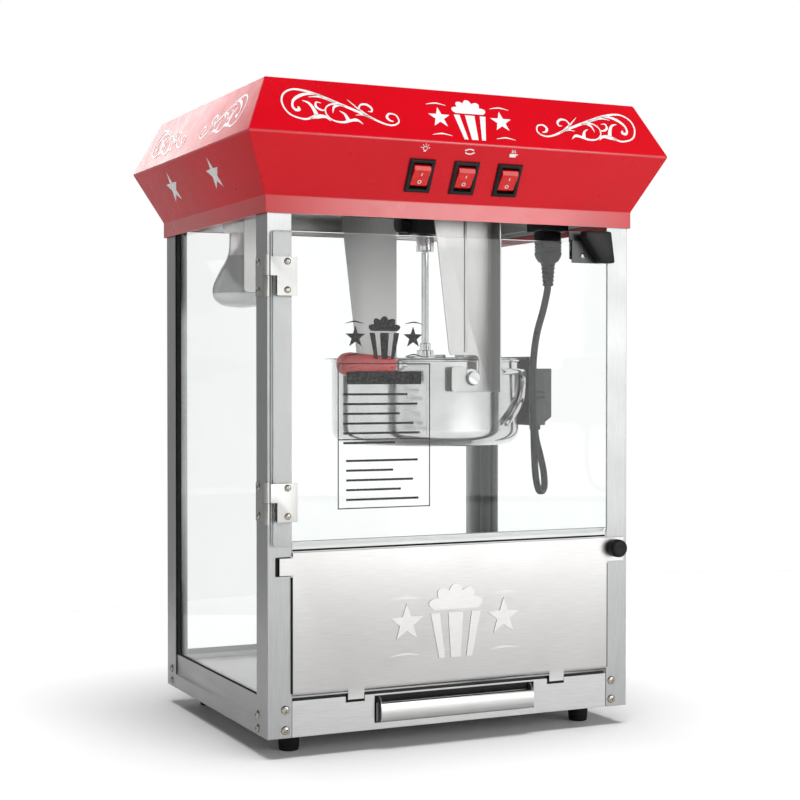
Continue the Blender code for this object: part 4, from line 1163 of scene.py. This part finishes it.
def lid_outline(tabbed):
    """Half a disc with a straight edge near the kettle's middle, with or without a tab to lift it by."""
    radius = LID_RADIUS
    reach = math.degrees(math.acos(LID_CUT / radius))
    if not tabbed:
        return arc((0.0, 0.0), radius, -reach, reach, 64)
    tab = math.degrees(math.asin(13.0 / radius))
    outline = arc((0.0, 0.0), radius, -reach, -tab, 30)
    outline += arc((radius + 11.0, -7.0), 4.0, -90, 0, 4)
    outline += arc((radius + 11.0, 7.0), 4.0, 0, 90, 4)
    return outline + arc((0.0, 0.0), radius, tab, reach, 30)


def make_lids():
    x, y = KETTLE_CENTRE
    for name, sign in (("left", -1), ("right", 1)):
        node = f"kettle_lid_{name}"
        low, high = span(node)
        bm = bmesh.new()
        outline = [(x + sign * u, y + v) for u, v in lid_outline(name == "left")]
        prism(bm, outline, low.z, high.z, along_z)
        made = piece(f"{node}_pressed", f"lid_{name}", bm, "polished", (node,), sharp=50.0)
        bevel(made, 0.4, 2, 60.0)
        for end, along in (("front", y - 62.0), ("rear", y + 62.0)):
            hinge = (x + sign * LID_CUT, high.z + 1.9)
            barrel = [(1.5, along - 11.0), (1.9, along - 10.6), (1.9, along + 10.6), (1.5, along + 11.0)]
            turned_piece(f"{node}_knuckle_{end}", f"lid_{name}", barrel, hinge, 24, "steel_z", axis="Y")


# ---------------------------------------------------------------- hangers, drive, lamp


def make_hangers():
    for end, sign in (("front", -1), ("rear", 1)):
        node = f"hanger_{end}"
        low, high = span(node)
        refined(node, "hanger", 0.35, 2, 30.0)
        outer = sign * HANGER_FACE
        bm = bmesh.new()
        faces = sorted((outer, outer + sign * 1.1))
        rounded_box(bm, (30.6, faces[0], low.z + 42.0), (33.6, faces[1], high.z - 18.0), 0.5)
        piece(f"{node}_rib", "cabinet", bm, "hanger")
        for i, place in enumerate(((52.0, high.z - 12.0), (10.0, high.z - 12.0))):
            dome = [(radius, outer + sign * out) for radius, out in RIVET]
            turned_piece(f"{node}_rivet_{i}", "cabinet", dome, place, 24, "polished", axis="Y")


def make_drive():
    """The stirrer's shaft with its collar, the arm in the kettle, the coupling and the motor."""
    low, high = span("stirrer_rod")
    x, y = KETTLE_CENTRE
    rim = KETTLE_RIM
    profile = [(4.8, low.z + 5.6), (5.6, low.z + 6.4), (5.6, low.z + 12.6), (4.25, low.z + 13.4)]
    profile += [(4.25, rim + 3.3), (8.9, rim + 3.3), (9.5, rim + 3.9), (9.5, rim + 10.4), (8.9, rim + 11.0)]
    profile += [(6.2, rim + 11.0), (6.2, rim + 18.4), (5.6, rim + 19.0), (4.25, rim + 19.0)]
    profile += [(4.25, high.z - 0.8), (3.6, high.z)]
    turned_piece("stirrer_shaft", "stirrer", profile, (x, y), 48, "polished", ("stirrer_rod",))
    half = [(9.0, -7.0), (60.0, -4.0), (84.0, -14.0), (88.0, -8.0), (64.0, 5.0), (9.0, 7.0)]
    outline = [(x + u, y + v) for u, v in half] + [(x - u, y - v) for u, v in half]
    bm = bmesh.new()
    prism(bm, outline, low.z, low.z + 5.5, along_z)
    bevel(piece("stirrer_arm", "stirrer", bm, "polished"), 0.6, 3)

    low, high = span("drive_coupling")
    profile = [(8.2, low.z), (9.2, low.z + 0.5), (9.8, low.z + 1.4), (9.8, low.z + 7.0), (9.2, low.z + 7.6)]
    profile += [(9.2, low.z + 8.6), (9.8, low.z + 9.2), (9.8, high.z - 1.0), (9.0, high.z)]
    turned_piece("coupling_turned", "drive_coupling", profile, (x, y), 48, "polished", ("drive_coupling",))
    refined("stir_motor", "black_plastic", 1.2, 3, 50.0)
    refined("kettle_socket", "black_plastic", 1.5, 3)
    refined("mains_gland", "black_rubber", 0.4, 2, 50.0)


def make_lamp():
    low, high = span("warmer_bulb")
    centre = (middle("warmer_bulb").x, middle("warmer_bulb").y)
    knots = [(0.6, low.z), (12.0, low.z + 0.9), (22.0, low.z + 3.4), (29.3, low.z + 9.4)]
    knots += [(31.5, low.z + 17.0), (30.2, low.z + 26.0), (23.8, low.z + 40.0), (17.0, low.z + 52.0)]
    knots += [(14.0, low.z + 61.0), (13.0, low.z + 70.0), (13.0, high.z)]
    profile = [(point.x, point.y) for point in smooth([(*k, 0.0) for k in knots], 5)]
    bulb = turned_piece(
        "reflector_bulb", "cabinet", profile, centre, 72, "bulb_body", ("warmer_bulb",), sharp=60.0
    )
    for name in ("bulb_face", "bulb_neck"):
        bulb.data.materials.append(FINISH[name])
    for face in bulb.data.polygons:
        height = face.center.z / MM - low.z
        face.material_index = 1 if height < 15.0 else (2 if height > 58.0 else 0)
    low, high = span("lamp_holder")
    profile = [(15.0, low.z), (17.0, low.z + 0.8), (19.6, low.z + 3.4), (20.0, low.z + 5.0)]
    profile += [(20.0, low.z + 12.0), (19.2, low.z + 13.0), (19.2, low.z + 15.0)]
    profile += [(20.0, low.z + 16.0), (20.0, high.z)]
    turned_piece("lamp_holder_ceramic", "cabinet", profile, centre, 56, "ceramic", ("lamp_holder",))
    refined("bulb_shield", "steel_z", 0.35, 2, 30.0)


# ---------------------------------------------------------------- studio


def make_floor():
    mesh = bpy.data.meshes.new("floor")
    bm = bmesh.new()
    bmesh.ops.create_circle(bm, cap_ends=True, radius=2.3, segments=96)
    bm.to_mesh(mesh)
    bm.free()
    floor = bpy.data.objects.new("floor", mesh)
    floor.location = (0.5, -1.3, 0.0)
    bpy.context.scene.collection.objects.link(floor)
    made = finish("pale_floor", FLOOR_COLOUR, 0.6, Specular_IOR_Level=0.1)
    vary_roughness(made, noise(made, 5.0), 0.55, 0.65)
    mesh.materials.append(made)


def add_light(name, kind, place, aim, energy, in_gloss=True):
    data = bpy.data.lights.new(name, kind)
    data.energy = energy
    light = bpy.data.objects.new(name, data)
    light.location = place
    light.rotation_euler = (Vector(aim) - Vector(place)).to_track_quat("-Z", "Y").to_euler()
    light.visible_camera = False
    light.visible_transmission = False
    light.visible_glossy = in_gloss
    bpy.context.scene.collection.objects.link(light)
    return data


def softbox(name, place, aim, width, height, radiance):
    """An even rectangle of light that only reflections and surfaces see."""
    data = add_light(name, "AREA", place, aim, radiance * math.pi * width * height)
    data.shape = "RECTANGLE"
    data.size = width
    data.size_y = height


def make_lights():
    softbox("key", (1.45, -2.9, 0.86), (0.0, -0.1, 0.45), 2.0, 1.7, KEY_RADIANCE)
    softbox("rear_left", (-0.5, 2.9, 1.85), (-0.2, 0.0, 0.6), 1.3, 1.4, REAR_RADIANCE)
    overhead = add_light("overhead", "SUN", (0.0, 0.0, 3.0), (0.0, 0.3, 0.0), OVERHEAD_STRENGTH, False)
    overhead.angle = math.radians(32.0)


def make_world():
    """White where it is seen. Where it lights and reflects it is brightest to the front right."""
    world = bpy.data.worlds.new("studio")
    bpy.context.scene.world = world
    world.use_nodes = True
    tree = world.node_tree
    background = tree.nodes["Background"]
    place = tree.nodes.new("ShaderNodeTexCoord")
    side = tree.nodes.new("ShaderNodeVectorMath")
    side.operation = "DOT_PRODUCT"
    side.inputs[1].default_value = Vector(BRIGHT_SIDE).normalized()
    tree.links.new(place.outputs["Generated"], side.inputs[0])
    level = tree.nodes.new("ShaderNodeMapRange")
    level.interpolation_type = "SMOOTHSTEP"
    level.inputs["From Min"].default_value = -0.9
    level.inputs["From Max"].default_value = 0.95
    level.inputs["To Min"].default_value = WORLD_DIM
    level.inputs["To Max"].default_value = WORLD_BRIGHT
    tree.links.new(side.outputs["Value"], level.inputs["Value"])
    height = tree.nodes.new("ShaderNodeSeparateXYZ")
    tree.links.new(place.outputs["Generated"], height.inputs["Vector"])
    above = tree.nodes.new("ShaderNodeMapRange")
    above.interpolation_type = "SMOOTHSTEP"
    above.inputs["From Min"].default_value = 0.3
    above.inputs["From Max"].default_value = 0.75
    above.inputs["To Min"].default_value = 1.0
    above.inputs["To Max"].default_value = WORLD_TOP
    tree.links.new(height.outputs["Z"], above.inputs["Value"])
    shaded = tree.nodes.new("ShaderNodeMath")
    shaded.operation = "MULTIPLY"
    tree.links.new(level.outputs["Result"], shaded.inputs[0])
    tree.links.new(above.outputs["Result"], shaded.inputs[1])
    path = tree.nodes.new("ShaderNodeLightPath")
    seen = tree.nodes.new("ShaderNodeMath")
    seen.operation = "MAXIMUM"
    tree.links.new(path.outputs["Is Camera Ray"], seen.inputs[0])
    tree.links.new(path.outputs["Is Transmission Ray"], seen.inputs[1])
    mix = tree.nodes.new("ShaderNodeMix")
    mix.inputs["B"].default_value = 1.0
    tree.links.new(seen.outputs["Value"], mix.inputs["Factor"])
    tree.links.new(shaded.outputs["Value"], mix.inputs["A"])
    tree.links.new(mix.outputs["Result"], background.inputs["Strength"])
    background.inputs["Color"].default_value = (1.0, 1.0, 1.0, 1.0)


def main():
    make_camera()
    lead, path, length = make_cord()
    plug_pieces = make_plug()
    entry = make_cord_entry()
    make_machine()
    make_screws()
    make_floor()
    make_world()
    make_lights()
    bpy.context.scene.view_settings.view_transform = "Standard"


main()
